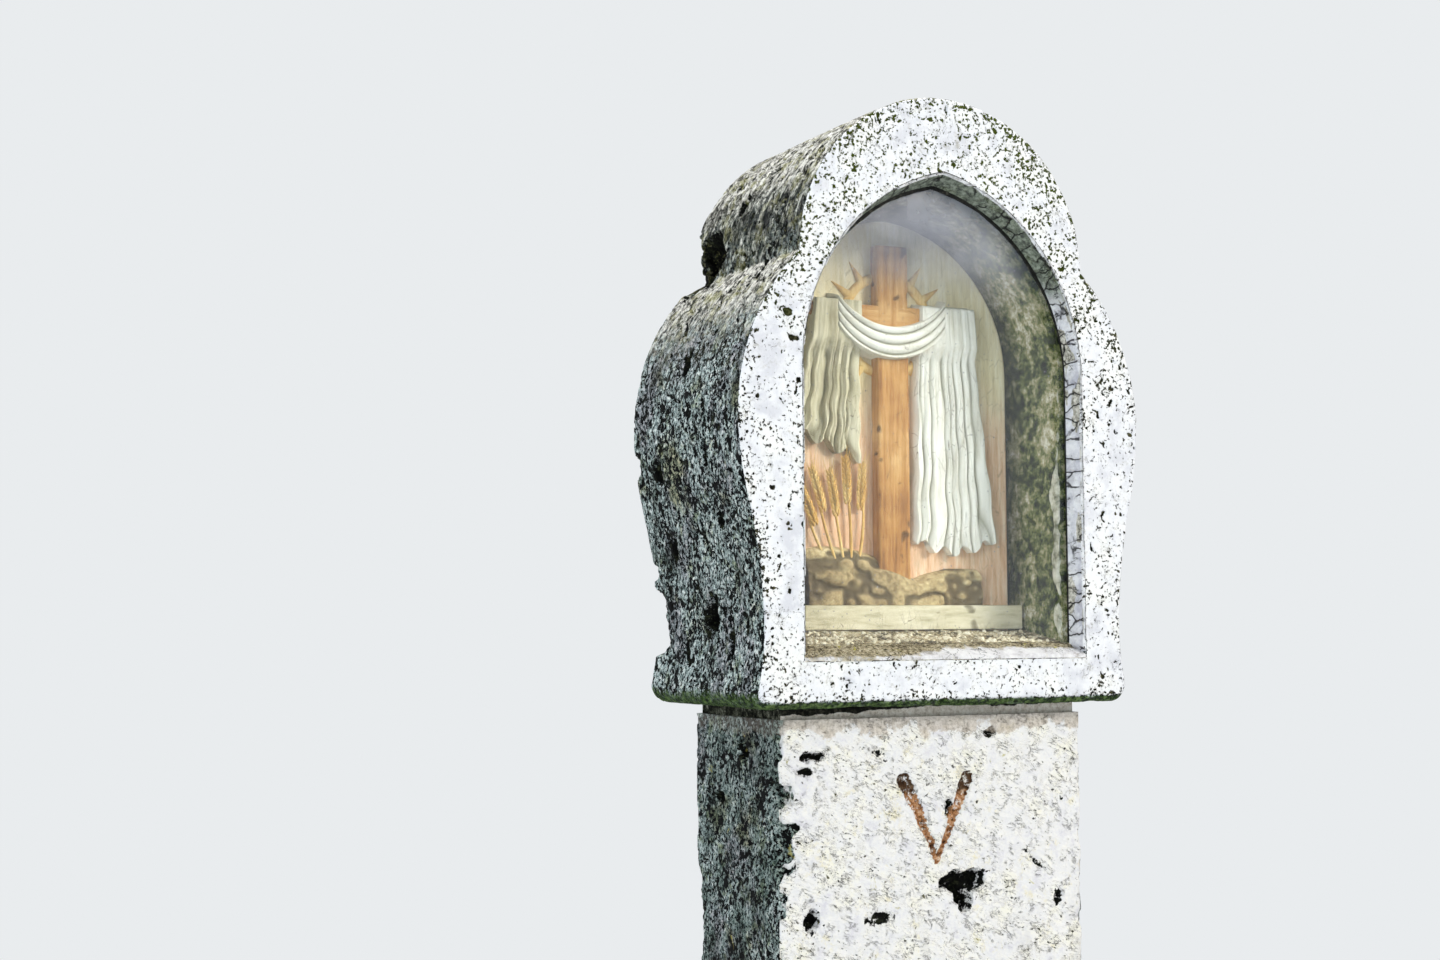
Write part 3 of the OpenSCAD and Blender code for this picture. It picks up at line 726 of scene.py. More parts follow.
def foot_wear(points, facing):
    """Depth of wear, how hollow each place is, and how pale it is: swellings, grain, pores and knocked
    edges."""
    small = pores(points, 0.012, 0.3, 601)
    large = pores(points, 0.030, 0.3, 611)
    depth = 0.0020 * (1 + rough(points, 0.090, 621, 3)) + 0.0008 * (1 + rough(points, 0.014, 625, 3))
    hollow = np.clip(0.7 * small + 0.9 * large, 0, 1)
    pale = 0.35 + 0.35 * smooth(points[..., 2] / foot_high[2])
    return depth + 0.002 * small + 0.003 * large, hollow, pale


def foot_rows():
    """Rows up the sides, over the slope, where the outline shrinks as much as it rises, and in across the
    top."""
    plan = spaced(rounded_rectangle(foot_low[:2], foot_high[:2], FOOT_R), FOOT_COLUMNS)
    out = outward(plan)
    side = np.linspace(foot_low[2], foot_high[2] - WASH_H, 26)
    slope = np.linspace(0.08, 1, 10)
    inward = np.linspace(0.004, 0.040, 9)
    inset = np.concatenate([0 * side, WASH_H * slope, WASH_H + inward])[:, None]
    level = np.concatenate([side, foot_high[2] - WASH_H * (1 - slope), foot_high[2] + 0 * inward])[:, None]
    rise = np.concatenate([0 * side, 0 * slope + 0.707, 0 * inward + 1])[:, None]
    flat = plan[None] - out[None] * inset[..., None]
    lean = np.sqrt(1 - rise**2)
    facing = in_space(out[:, 0] * lean, out[:, 1] * lean, rise)
    return in_space(flat[..., 0], flat[..., 1], level), facing, np.ones(flat.shape[:2])


foot_grid, foot_hollow, foot_pale = worn(foot_wear, *foot_rows())
foot_block = skin("foot_block", foot_grid, hollow=foot_hollow, wash=foot_pale)


def mortar_wear(points, facing):
    """A ragged joint: the mortar lies back by up to 3 mm in swellings, and crumbs are missing."""
    crumbs = pores(points, 0.008, 0.45, 651)
    depth = 0.0015 * (1 + rough(points, 0.035, 655, 4)) + 0.0015 * crumbs
    return depth, crumbs


def mortar_bed(name, node):
    """A thin block with a worn edge, in the place of one node of the model."""
    low, high = corners(node)
    rows = post_rows(low, high, 0.003, 420, np.linspace(low[2], high[2], 7))
    grid, crumbs = worn(mortar_wear, *rows)
    return skin(name, grid, hollow=crumbs, front=np.clip(-rows[1][..., 1], 0, 1))


head_mortar = mortar_bed("head_mortar", "head_joint")
foot_mortar = mortar_bed("foot_mortar", "foot_joint")

# %% [markdown]
# ## Inside the niche
# The sill and the floor behind the glass are beds of mortar: a side outline in Y and Z, carried across
# along X. Both have crumbled, and loose grit lies on the floor.
#
# Where a piece follows the pointed arch, it is a band instead: one short row round its thickness for every
# point along the arch. The reveal's painted coat, the pane's dark seal and the rest of the plaster are made
# so.

# %% Sill and floor
def across_rows(profile, columns, x_from, x_to, steps):
    """A side outline in Y and Z, carried along X, with the way each point faces."""
    ring = spaced(np.asarray(profile), columns)
    out = outward(ring)
    x = np.linspace(x_from, x_to, steps)[:, None]
    place = in_space(x, ring[:, 0], ring[:, 1])
    return place, in_space(0 * x, out[:, 0], out[:, 1]), np.ones(place.shape[:2])


def bed_wear(points, facing, lump_depth):
    """A crumbling bed: only its upper side is worn, by swellings, missing lumps and grit."""
    upper = smooth(facing[..., 2] * 3)
    lumps = pores(points, 0.024, 0.5, 701, 0.7)
    grit = pores(points, 0.006, 0.6, 711)
    depth = 0.0012 * (1 + rough(points, 0.030, 721, 4)) + lump_depth * lumps + 0.0012 * grit
    return depth * upper, np.clip(0.6 * lumps + 0.7 * grit, 0, 1) * upper


FLOOR_LUMPS, SILL_LUMPS = 0.0022, 0.0042
floor_low, floor_high = corners("niche_floor_bed")
pane_low, pane_high = corners("glass_pane")
ledge_low, ledge_high = corners("relief_ledge")
sill_side = [
    (sill_low[1], sill_low[2]), (pane_high[1], sill_low[2]), (pane_high[1], pane_low[2]),
    (pane_low[1], pane_low[2]), (pane_low[1], sill_high[2]), (pane_low[1] - 0.003, sill_high[2]),
    (sill_low[1], sill_low[2] + 0.005),
]
sill_rows = across_rows(sill_side, 72, sill_low[0], sill_high[0], 150)
sill_grid, sill_hollow = worn(lambda p, f: bed_wear(p, f, SILL_LUMPS), *sill_rows)
sill_bed = skin("sill_bed", sill_grid, hollow=sill_hollow)

BED_FRONT_Z = sill_high[2] + 0.001
floor_side = [
    (floor_low[1], floor_low[2]), (floor_high[1], floor_low[2]), (floor_high[1], floor_high[2]),
    (ledge_low[1], floor_high[2]), (floor_low[1], BED_FRONT_Z),
]
floor_rows = across_rows(floor_side, 72, floor_low[0], floor_high[0], 120)
floor_grid, floor_hollow = worn(lambda p, f: bed_wear(p, f, FLOOR_LUMPS), *floor_rows)
floor_bed = skin("floor_bed", floor_grid, hollow=floor_hollow)

# %% Loose grit on the floor
def ball_rows(rows=5, columns=8):
    """A unit ball as a grid: rows are circles of latitude that stop just short of the poles."""
    tilt = np.linspace(0.12, math.pi - 0.12, rows)[:, None]
    turn = np.arange(columns) * 2 * math.pi / columns
    return in_space(np.sin(tilt) * np.cos(turn), np.sin(tilt) * np.sin(turn), np.cos(tilt))


def full_turn(steps):
    """Angles at equal steps round a circle."""
    return np.linspace(0, 2 * math.pi, steps, endpoint=False)


def turned(points, axis, angle):
    """Points turned round an axis through the origin, by the rotation formula of Rodrigues."""
    axis = axis / np.linalg.norm(axis, axis=-1, keepdims=True)
    cos, sin = np.cos(angle), np.sin(angle)
    along = (points * axis).sum(axis=-1, keepdims=True)
    return points * cos + np.cross(axis, points) * sin + axis * along * (1 - cos)


GRAINS = 420
random = np.random.default_rng(7)
grain_x = random.uniform(floor_low[0] + 0.006, floor_high[0] - 0.006, GRAINS)
grain_y = random.uniform(floor_low[1] + 0.004, ledge_low[1] - 0.002, GRAINS)
grain_share = (grain_y - floor_low[1]) / (ledge_low[1] - floor_low[1])
grain_z = BED_FRONT_Z + grain_share * (floor_high[2] - BED_FRONT_Z) - 0.0016
grain_place = in_space(grain_x, grain_y, grain_z)[:, None, None]
grain_shape = random.uniform(0.7, 1.5, (GRAINS, 3))
grain_size = (grain_shape * random.uniform(0.0009, 0.0028, (GRAINS, 1)))[:, None, None]
grain_turn = random.uniform(0, math.pi, (GRAINS, 1, 1, 1))
grain_axis = random.normal(size=(GRAINS, 1, 1, 3))
grit = skin("floor_grit", grain_place + turned(ball_rows() * grain_size, grain_axis, grain_turn))

# %% Bands along the arch
NICHE_W, APEX_Z, REVEAL_SPLAY, APEX_SPLAY = 0.372, 0.616, 0.002, 0.008
SEAL_Y = pane_low[1] - 0.003


def band_rows(edges, counts):
    """One row round the thickness of a band for every point along the arch: its corners are given as pairs
    of an outline and a depth, and the rows step evenly from each corner to the next."""
    sides = []
    for (path, y), (next_path, next_y), count in zip(edges, edges[1:] + edges[:1], counts):
        share = (np.arange(count) / count)[None, :, None]
        start, end = (at_depth(p[:, None], d) for p, d in ((path, y), (next_path, next_y)))
        sides.append(start + share * (end - start))
    return np.concatenate(sides, axis=1)


def into_opening(grid):
    """Directions towards the middle of the niche, square to the Y axis."""
    inward = CENTRE - grid[..., (0, 2)]
    inward = inward / np.linalg.norm(inward, axis=-1, keepdims=True)
    return at_depth(inward, 0)


COAT_FRONT, COAT_ROLL, COAT_FACE, COAT_BACK = 3, 4, 26, 7
COAT_EDGE, COAT_MOST = 0.002, 0.0034
niche_line = arch_points(NICHE_W, sill_low[2], HEAD_Z + APEX_Z)
back_line = arch_points(NICHE_W - 2 * REVEAL_SPLAY, sill_low[2], HEAD_Z + APEX_Z - APEX_SPLAY)
on_arch = np.flatnonzero(rebate[:, 1] > coat_low[2] + 0.0005)[::2]
coat_lip = (niche_line + COAT_EDGE * outward(niche_line))[on_arch]
coat_rim = rebate[on_arch]
coat_grid = band_rows(
    [(coat_rim, coat_low[1]), (coat_lip, coat_low[1]), (niche_line[on_arch], coat_low[1] + COAT_EDGE),
     (back_line[on_arch], coat_high[1]), (coat_rim, coat_high[1])],
    (COAT_FRONT, COAT_ROLL, COAT_FACE, COAT_BACK // 2, COAT_BACK - COAT_BACK // 2),
)
face_ends = COAT_FRONT + COAT_ROLL + COAT_FACE
in_face = np.interp(
    np.arange(coat_grid.shape[1]), (COAT_FRONT - 1, COAT_FRONT, face_ends - 3, face_ends), (0, 1, 1, 0))
coat_flake = smooth((rough(coat_grid, (0.030, 0.020, 0.045), 741, 4) - 0.22) * 9)
coat_swell = 0.0005 * (1 + rough(coat_grid, 0.030, 751, 3))
at_edge = np.clip(1 - (coat_grid[..., 1] - coat_low[1]) / 0.009, 0, 1)
coat_chip = smooth((rough(coat_grid, (0.026, 0.040, 0.034), 745, 4) - 0.06) * 6) * at_edge
coat_depth = np.minimum(0.0011 * coat_flake + coat_swell + 0.0028 * coat_chip, COAT_MOST) * in_face
painted_reveal = skin(
    "painted_reveal", coat_grid - into_opening(coat_grid) * coat_depth[..., None],
    flake=np.maximum(coat_flake, coat_chip),
)

seal_rim = arch_points(coat_high[0] - coat_low[0], sill_high[2], coat_high[2])[::2]
seal_line = arch_points(NICHE_W - 2 * REVEAL_SPLAY, sill_high[2], HEAD_Z + APEX_Z - APEX_SPLAY)[::2]
under_apex = smooth((seal_line[:, 1] - HEAD_Z - 0.40) / 0.15)
uneven = (0.0004 + 0.0014 * under_apex) * rough(at_depth(seal_line, SEAL_Y), 0.024, 761, 4)
seal_shows = 0.0004 + 0.0030 * under_apex + uneven
seal_lip = seal_line - outward(seal_line) * seal_shows[:, None]
seal_front = SEAL_Y + 0.0004
seal_back = pane_low[1]
seal_corners = [(seal_rim, seal_front), (seal_lip, seal_front), (seal_lip, seal_back), (seal_rim, seal_back)]
seal_grid = band_rows(seal_corners, (4, 4, 4, 4))
seal_bead = skin("seal_bead", seal_grid, ring=True)

PLASTER_T, PLASTER_SUNK, PLASTER_GAP, PLASTER_TOP = 0.002, 0.0036, 0.007, 0.39
plaster_arch = np.flatnonzero(chamber[:, 1] > BED_FRONT_Z + 0.001)[::2]
wall_line = chamber[plaster_arch]
wall_out = outward(chamber)[plaster_arch]
wall_behind = wall_line + wall_out * PLASTER_GAP
plaster_grid = band_rows(
    [(wall_behind, SHOULDER_Y + PLASTER_GAP), (wall_line, SHOULDER_Y + 0.001), (wall_line, plaster_high[1]),
     (wall_behind, plaster_high[1])],
    (2, 22, 2, 2),
)
plaster_share = np.clip((plaster_grid[..., 1] - plaster_low[1]) / (plaster_high[1] - plaster_low[1]), 0, 1)
plaster_left = smooth((0.46 + 0.9 * rough(plaster_grid, (0.03, 0.014, 0.05), 771, 4) - plaster_share) * 5)
plaster_left = plaster_left * smooth((plaster_share - 0.02 + 0.30 * rough(plaster_grid, 0.018, 777, 4)) * 5)
plaster_left = plaster_left * smooth((HEAD_Z + PLASTER_TOP - plaster_grid[..., 2]) / 0.03)
plaster_skin = np.zeros(plaster_grid.shape[:2])
plaster_skin[:, 2:25] = 1
plaster_rise = (plaster_left * (PLASTER_T + PLASTER_SUNK) - PLASTER_SUNK) * plaster_skin
plaster_out = at_depth(wall_out[:, None], 0.0)
wall_plaster = skin("wall_plaster_rest", plaster_grid - plaster_out * plaster_rise[..., None])

# %% [markdown]
# ## The painted relief
# The relief is a plain design, carved and painted: an upright timber cross on a stony hill, a white cloth
# laid over its arms, a ring of rays behind the crossing and five ears of wheat. It could be sculpted too,
# but as formulas its parts stay easy to change. All is measured in hundredths of the board's width.
#
# The board and the ledge are worn wood. A beam is a rounded rectangle carried along one axis, and its last
# rows shrink by a quarter circle, so that its ends have edges too.

# %% Board, ledge and timbers
board_face = board_low[1]
UNIT = (board_high[0] - board_low[0]) / 100
relief_z = ledge_high[2]
cross_low, cross_high = corners("relief_cross")
TIMBER_W, ARMS_SHARE = 0.044, 0.78
arms_z = relief_z + ARMS_SHARE * (cross_high[2] - relief_z)


def wood_wear(points, facing, axis, seed):
    """Carved wood: long shallow tool marks along one axis, and dents on the edges."""
    stretch = np.full(3, 0.006)
    stretch[axis] = 0.070
    marks = rough(points, stretch, seed, 3)
    knocks = pores(points, 0.016, 0.22, seed + 5)
    return 0.00035 * (1 + marks) + 0.0007 * knocks, knocks


def beam(name, low, high, axis, radius, around, along, seed):
    """A timber between two corners: the section lies across the axis, and the rows run along it."""
    low, high = np.array(low), np.array(high)
    cross = [a for a in range(3) if a != axis]
    section = spaced(rounded_rectangle(low[cross], high[cross], radius), around)
    out = outward(section)
    length = high[axis] - low[axis]
    turn = np.linspace(0, math.pi / 2, 4)[:-1]
    ends, drawn_in = radius * (1 - np.cos(turn)), radius * (1 - np.sin(turn))
    inner = np.linspace(radius, length - radius, along)
    level = np.concatenate([ends, inner, length - ends[::-1]])
    inset = np.concatenate([drawn_in, 0 * inner, drawn_in[::-1]])
    ring = section[None] - out[None] * inset[:, None, None]
    place = np.zeros((*ring.shape[:2], 3))
    place[..., cross] = ring
    place[..., axis] = low[axis] + level[:, None]
    facing = np.zeros_like(place)
    facing[..., cross] = out
    depth, knocks = wood_wear(place, facing, axis, seed)
    return skin(name, place - facing * depth[..., None], hollow=knocks)


ledge_bar = beam("cream_ledge", ledge_low, ledge_high, 0, 0.002, 64, 120, 801)
half_timber = TIMBER_W / 2
upright = beam(
    "cross_upright", (-half_timber, cross_low[1], relief_z), (half_timber, cross_high[1], cross_high[2]),
    2, 0.0022, 48, 150, 811,
)
arms = beam(
    "cross_arms", (cross_low[0], cross_low[1], arms_z - half_timber),
    (cross_high[0], cross_high[1], arms_z + half_timber), 0, 0.0022, 48, 80, 821,
)

BOARD_SPRING_Z, BOARD_R = 0.400, 0.003
board_arch = pointed_arch(
    board_high[0] - board_low[0], board_low[2], HEAD_Z + BOARD_SPRING_Z, board_high[2])
board_edge = spaced(board_arch, 280)
board_out = outward(board_edge)
board_roll = turned_rows(board_edge, board_out, BOARD_R, board_face, -1, 3)
board_inner = board_edge - board_out * BOARD_R
board_depths = np.linspace(board_face + BOARD_R, board_high[1], 6)[:, None]
board_rows = stack_rows(
    (face_rows(CENTRE, board_inner, board_face, -1, np.linspace(0.02, 0.995, 44)), FULL_WEAR),
    (tuple(part[::-1] for part in board_roll), FULL_WEAR),
    (flank_rows(board_edge, board_out, board_depths), FULL_WEAR),
)
board_grid, board_hollow = worn(lambda p, f: wood_wear(p, f, 2, 831), *board_rows)
relief_ground = skin("relief_ground", board_grid, hollow=board_hollow)

# %% [markdown]
# ### The hill
# A slice through the hill is a round-shouldered block: flat at the back, and falling off at its crest. The
# crest follows two circles, one for each rise. Where a noise passes through zero lies a crease, and the
# hill swells to a stone between the creases. They fade out behind the upright.

# %% Hill
HILL_CIRCLES = ((-26, -41, 62), (32, -52, 66))
hill_low, hill_high = corners("relief_mound")


def crest(x):
    """Height of the hill over the ledge: the higher of two circles' upper halves."""
    tops = [z * UNIT + np.sqrt((r * UNIT) ** 2 - (x - mid * UNIT) ** 2) for mid, z, r in HILL_CIRCLES]
    return np.maximum(*tops)


def hill_rows(steps=180, up=40):
    """Each row is a slice: up the front, where the thickness is (1 - s^3)^0.6 of the whole, and down the
    flat back. Towards both ends the hill sinks by (1 - u^6)^0.4, where u runs from -1 to 1 along it."""
    x = np.linspace(hill_low[0] + 0.0005, hill_high[0] - 0.0005, steps)[:, None]
    sunk = (1 - np.linspace(-0.998, 0.998, steps)[:, None] ** 6) ** 0.4
    share = np.concatenate([np.linspace(0, 1, up), np.linspace(1, 0, up)])[None]
    thick = (hill_high[1] - hill_low[1]) * (1 - share**3) ** 0.6 * sunk
    thick = np.where(np.arange(2 * up) < up, np.maximum(thick, 0.003), 0)
    height = (crest(x) - 0.001) * sunk * share
    place = in_space(x, hill_high[1] - thick, relief_z + height)
    stones = smooth(3.2 * np.abs(rough(place, (0.042, 0.060, 0.030), 851, 3)) + 0.05)
    crumbs = rough(place, (0.012, 0.012, 0.009), 861, 4)
    lower = smooth(6 * (1 - share)) * (thick > 0.0031) * (1 - 0.9 * np.exp(-((x / TIMBER_W) ** 2)))
    place[..., 1] += np.minimum(0.0070 * (1 - stones) + 0.0016 * (1 + crumbs), 0.5 * thick) * lower
    place[..., 2] -= 0.0015 * (1 + rough(place, 0.02, 871, 3)) * smooth(4 * share - 3)
    return place, stones


hill_grid, hill_stones = hill_rows()
# The creases count as hollows, which the paint darkens as painted shade.
hill = skin("stony_hill", hill_grid, hollow=1 - hill_stones)

# %% [markdown]
# ### The cloth
# It is carved and painted, not woven, and it is laid over both arms. Each hanging end is a sheet with a
# front and a flat back: the front stands out from the board by a base thickness plus rounded folds that
# spread as they fall, goes up over the arm at its upper edge, and rolls in at the sides. The swag between
# the arms has its folds along the curve instead of down it.

# %% Cloth over the arms
cloth_low, cloth_high = corners("relief_cloth")
CLOTH_TOP = arms_z + half_timber + 2 * UNIT
ARM_OUT = cross_high[1] - cross_low[1]
OVER_ARM = ARM_OUT + 0.0035
MOST_OUT = cloth_high[1] - cloth_low[1]


def fold_wave(phase, sharp=0.75):
    """Rounded folds from 0 to 1 with narrow valleys between: the size of a sine, raised to a power under
    1."""
    return np.abs(np.sin(math.pi * phase)) ** sharp


def side_roll(share, width):
    """1 across a sheet and 0 at both its sides, rising along a quarter of an ellipse."""
    near = np.clip(np.minimum(share, 1 - share) / width, 0, 1)
    return np.sqrt(1 - (1 - near) ** 2)


def backed(name, x, out, z, wave, shows, ripple=None):
    """A sheet of cloth: its front stands out from the board, its back is flat, and its valleys are marked
    for painted shade."""
    front = in_space(x, board_face - out, z)
    if ripple:
        front[..., 1] += 0.00025 * rough(front, (0.004, 0.004, 0.03), ripple, 3)
    back = front[:, ::-1].copy()
    back[..., 1] = board_face + 0.0004
    valley = np.broadcast_to((1 - wave) * shows, front.shape[:2])
    fold = np.concatenate([valley, valley[:, ::-1]], axis=1)
    return skin(name, np.concatenate([front, back], axis=1), fold=fold)


def hanging_end(name, top_from, top_to, low_from, low_to, length, folds, seed, across=100, down=120):
    """A hanging end between two lines in X; a function gives its length at each share of its width."""
    a = np.linspace(0, 1, across)[None]
    b = np.linspace(0, 1, down)[:, None]
    fall = b**1.15
    left = top_from + (low_from - top_from) * fall
    right = top_to + (low_to - top_to) * fall
    drop = b * length(a)
    bend = 0.16 * np.sin(2.2 * math.pi * b + 3 * a) + 0.05 * np.sin(5.1 * math.pi * b + 9 * a)
    uneven = folds * (a + 0.035 * np.sin(11 * a) + 0.02 * np.sin(23 * a + 2 * b))
    wave = 0.76 * fold_wave(uneven + bend * (0.3 + b)) + 0.24 * fold_wave(2.3 * uneven + 0.4 * b)
    over = smooth(b / 0.02)
    below_arm = smooth((drop - 2 * half_timber - 1.5 * UNIT) / (7 * UNIT))
    base = over * (OVER_ARM * (1 - below_arm) + 0.0085 * below_arm)
    height = (0.0022 + 0.0068 * below_arm) * (0.60 + 0.40 * b)
    out = (base + height * wave * over) * side_roll(a, 0.045)
    out = out * (1 - 0.18 * smooth((b - 0.94) / 0.06))
    x = UNIT * (left + (right - left) * a) + 0.0018 * np.sin(9 * math.pi * b + 5 * a) * b
    z = CLOTH_TOP - drop - 0.0015 * wave * b
    return backed(name, x, np.clip(out, 0.0012, MOST_OUT - 0.0003), z, wave, below_arm, seed)


def right_length(a):
    """The right end hangs lowest near its middle, and its hem runs up and down with the folds."""
    return UNIT * (82 + 5 * np.sin(math.pi * a) + 1.6 * np.sin(9 * math.pi * a))


def left_length(a):
    """The left end is cut on the slant, longest next to the upright."""
    return UNIT * (45 + 11 * a + 1.6 * np.sin(7 * math.pi * a))


right_end = hanging_end("cloth_right_end", 10.5, 33.5, 8.0, 43.0, right_length, 8, 881)
left_end = hanging_end("cloth_left_end", -31.5, -12.5, -39.0, -12.2, left_length, 6, 891, 84, 90)


def swag(name, across=56, along=120):
    """The middle of the cloth: its upper and lower lines are circles, and three folds run from arm to
    arm."""
    top = (CLOTH_TOP - relief_z) / UNIT
    span = np.linspace(-1, 1, along)[:, None]
    share = np.linspace(0, 1, across)[None]
    x = (-1 + 22.5 * span) * UNIT
    high = top + 18 - np.sqrt(27.0**2 - (22.5 * span) ** 2 * 0.93)
    low = top + 7 - np.sqrt(28.0**2 - (22.5 * span) ** 2)
    low = np.minimum(low, high - 9)
    z = relief_z + UNIT * (high + (low - high) * share)
    wave = fold_wave(3.4 * share + 0.35 * np.abs(span) ** 2 + 0.1)
    out = (OVER_ARM + 0.0008 + 0.0052 * wave * (1 - 0.55 * np.abs(span) ** 3)) * side_roll(share, 0.07)
    out = out * side_roll((span + 1) / 2, 0.03)
    return backed(name, x, np.clip(out, 0.0012, MOST_OUT - 0.0002), z, wave, 1)


cloth_swag = swag("cloth_swag")

# %% [markdown]
# ### Rays and wheat
# The ring of rays is a flat half-round hoop with sixteen tapered points, made once and turned into sixteen
# copies by one array of angles. An ear of wheat is a stalk with three files of grains, and every grain ends
# in a long bristle. All grains are one mesh, because they are the same small ball stretched and tilted.

# %% Rays
RAY_COUNT, RAY_OUT = 16, 1.5
HOOP_IN, HOOP_OUT, RAY_FOOT, RAY_TIP, RAY_HALF = 15.5, 19, 17, 26, 1.9
ray_middle = np.array([0, board_face, arms_z])
hoop_turn = full_turn(240)[:, None]
hoop_round = full_turn(16)[None]
hoop_reach = UNIT * ((HOOP_IN + HOOP_OUT) / 2 + (HOOP_OUT - HOOP_IN) / 2 * np.cos(hoop_round))
hoop_out = UNIT * RAY_OUT * np.maximum(np.sin(hoop_round), -0.1) * (1 - 0.12 * np.cos(3 * hoop_turn) ** 2)
hoop_grid = in_space(hoop_reach * np.sin(hoop_turn), -hoop_out, hoop_reach * np.cos(hoop_turn))
hoop = skin("ray_hoop", ray_middle + hoop_grid, ring=True)

ray_share = np.linspace(0, 1, 10)[:, None]
ray_round = full_turn(12)[None]
ray_width = UNIT * RAY_HALF * (1 - 0.93 * ray_share)
one_ray = in_space(
    ray_width * np.cos(ray_round),
    -np.maximum(np.sin(ray_round), -0.1) * UNIT * RAY_OUT * (0.95 - 0.7 * ray_share),
    UNIT * (RAY_FOOT + (RAY_TIP - RAY_FOOT) * ray_share),
)
ray_turns = ((np.arange(RAY_COUNT) + 0.5) * 2 * math.pi / RAY_COUNT)[:, None, None, None]
rays = skin("ray_points", ray_middle + turned(one_ray[None], np.array([0.0, 1.0, 0.0]), ray_turns))

# %% Wheat
EARS, EAR_R, EAR_FOOT, EAR_LONG = 5, 2.0, 10, 18
number = np.arange(EARS)
ear_lean = np.radians(7 * number - 24)
stalk_long = UNIT * (19 + 3 * (number % 2) + number)
ear_foot = in_space(UNIT * (2 * number - 22), board_face - EAR_R * UNIT, relief_z + EAR_FOOT * UNIT)
ear_up = in_space(np.sin(ear_lean), 0, np.cos(ear_lean))
ear_side = in_space(np.cos(ear_lean), 0, -np.sin(ear_lean))

stalk_share = np.linspace(0, 1, 26)[None, :, None, None]
stalk_turn = full_turn(10)[None, None, :, None]
stalk_reach = stalk_long[:, None, None, None] + UNIT * 12
stalk_r = UNIT * (0.62 - 0.25 * stalk_share)
stalk_bend = 0.0030 * np.sin(math.pi * stalk_share) * (number - 2)[:, None, None, None]
forward = np.array([0.0, -1.0, 0.0])
stalk_grid = (
    ear_foot[:, None, None] + ear_up[:, None, None] * stalk_reach * stalk_share
    + ear_side[:, None, None] * (stalk_bend + stalk_r * np.cos(stalk_turn))
    + forward * stalk_r * np.sin(stalk_turn)
)
stalks = skin("wheat_stalks", stalk_grid)

GRAIN_ROWS, GRAIN_LONG, GRAIN_THICK = 8, 1.65, 0.72
file_turn = np.radians([-62.0, 0.0, 62.0])
grain_level = (np.arange(GRAIN_ROWS) + 0.5) / GRAIN_ROWS
ear, level, file = np.indices((EARS, GRAIN_ROWS, 3)).reshape(3, -1)
share = grain_level[level] + (file == 1) * 0.5 / GRAIN_ROWS
thin = 1 - 0.55 * np.abs(share - 0.4) ** 1.5
away = ear_side[ear] * np.sin(file_turn[file])[:, None] + forward * np.cos(file_turn[file])[:, None]
middle = ear_foot[ear] + ear_up[ear] * (stalk_long[ear] + UNIT * EAR_LONG * 0.88 * share)[:, None]
middle = middle + away * (UNIT * 1.15 * thin)[:, None]
grain_up = ear_up[ear] + 0.38 * away
grain_up = grain_up / np.linalg.norm(grain_up, axis=1, keepdims=True)
grain_away = away - (away * grain_up).sum(axis=1, keepdims=True) * grain_up
grain_away = grain_away / np.linalg.norm(grain_away, axis=1, keepdims=True)
grain_side = np.cross(grain_up, grain_away)
ball = ball_rows(7, 8)
swell = UNIT * GRAIN_THICK * thin[:, None, None, None]
grains = middle[:, None, None] + swell * (
    ball[..., :1] * grain_side[:, None, None] + 0.8 * ball[..., 1:2] * grain_away[:, None, None]
) + UNIT * GRAIN_LONG * thin[:, None, None, None] * ball[..., 2:] * grain_up[:, None, None]
wheat_grains = skin("wheat_grains", grains)

bristle_share = np.linspace(0, 1, 6)[None, :, None, None]
bristle_turn = full_turn(4)[None, None, :, None]
bristle_r = UNIT * 0.13 * (1.05 - bristle_share)
bristle_from = (middle + grain_up * UNIT * GRAIN_LONG * 0.8)[:, None, None]
bristle_round = (
    np.cos(bristle_turn) * grain_side[:, None, None] + np.sin(bristle_turn) * grain_away[:, None, None]
)
bristle_grid = (
    bristle_from + (grain_up + 0.25 * ear_up[ear])[:, None, None] * UNIT * 4.2 * bristle_share
    + bristle_r * bristle_round
)
bristles = skin("wheat_bristles", bristle_grid)

# %% [markdown]
# ## Finishes
# A finish is a small tree of nodes. A Finish adds nodes, and each comes back as an Output, on which plain
# arithmetic adds the Math nodes: the sum of two noises is written as a sum. Sizes are in metres, as for the
# shapes. All patterns read the Object coordinates, which are the model's own metres here because every
# piece sits at the origin, and the numbers that the shapes left on the vertices.

# %% Helpers for node trees
def colour(code):
    """A colour as the eye reads it, such as "C8B090", turned into the linear numbers that a shader uses."""
    parts = np.array([int(code[i:i + 2], 16) for i in (0, 2, 4)]) / 255
    linear = np.where(parts <= 0.04045, parts / 12.92, ((parts + 0.055) / 1.055) ** 2.4)
    return (*linear, 1.0)


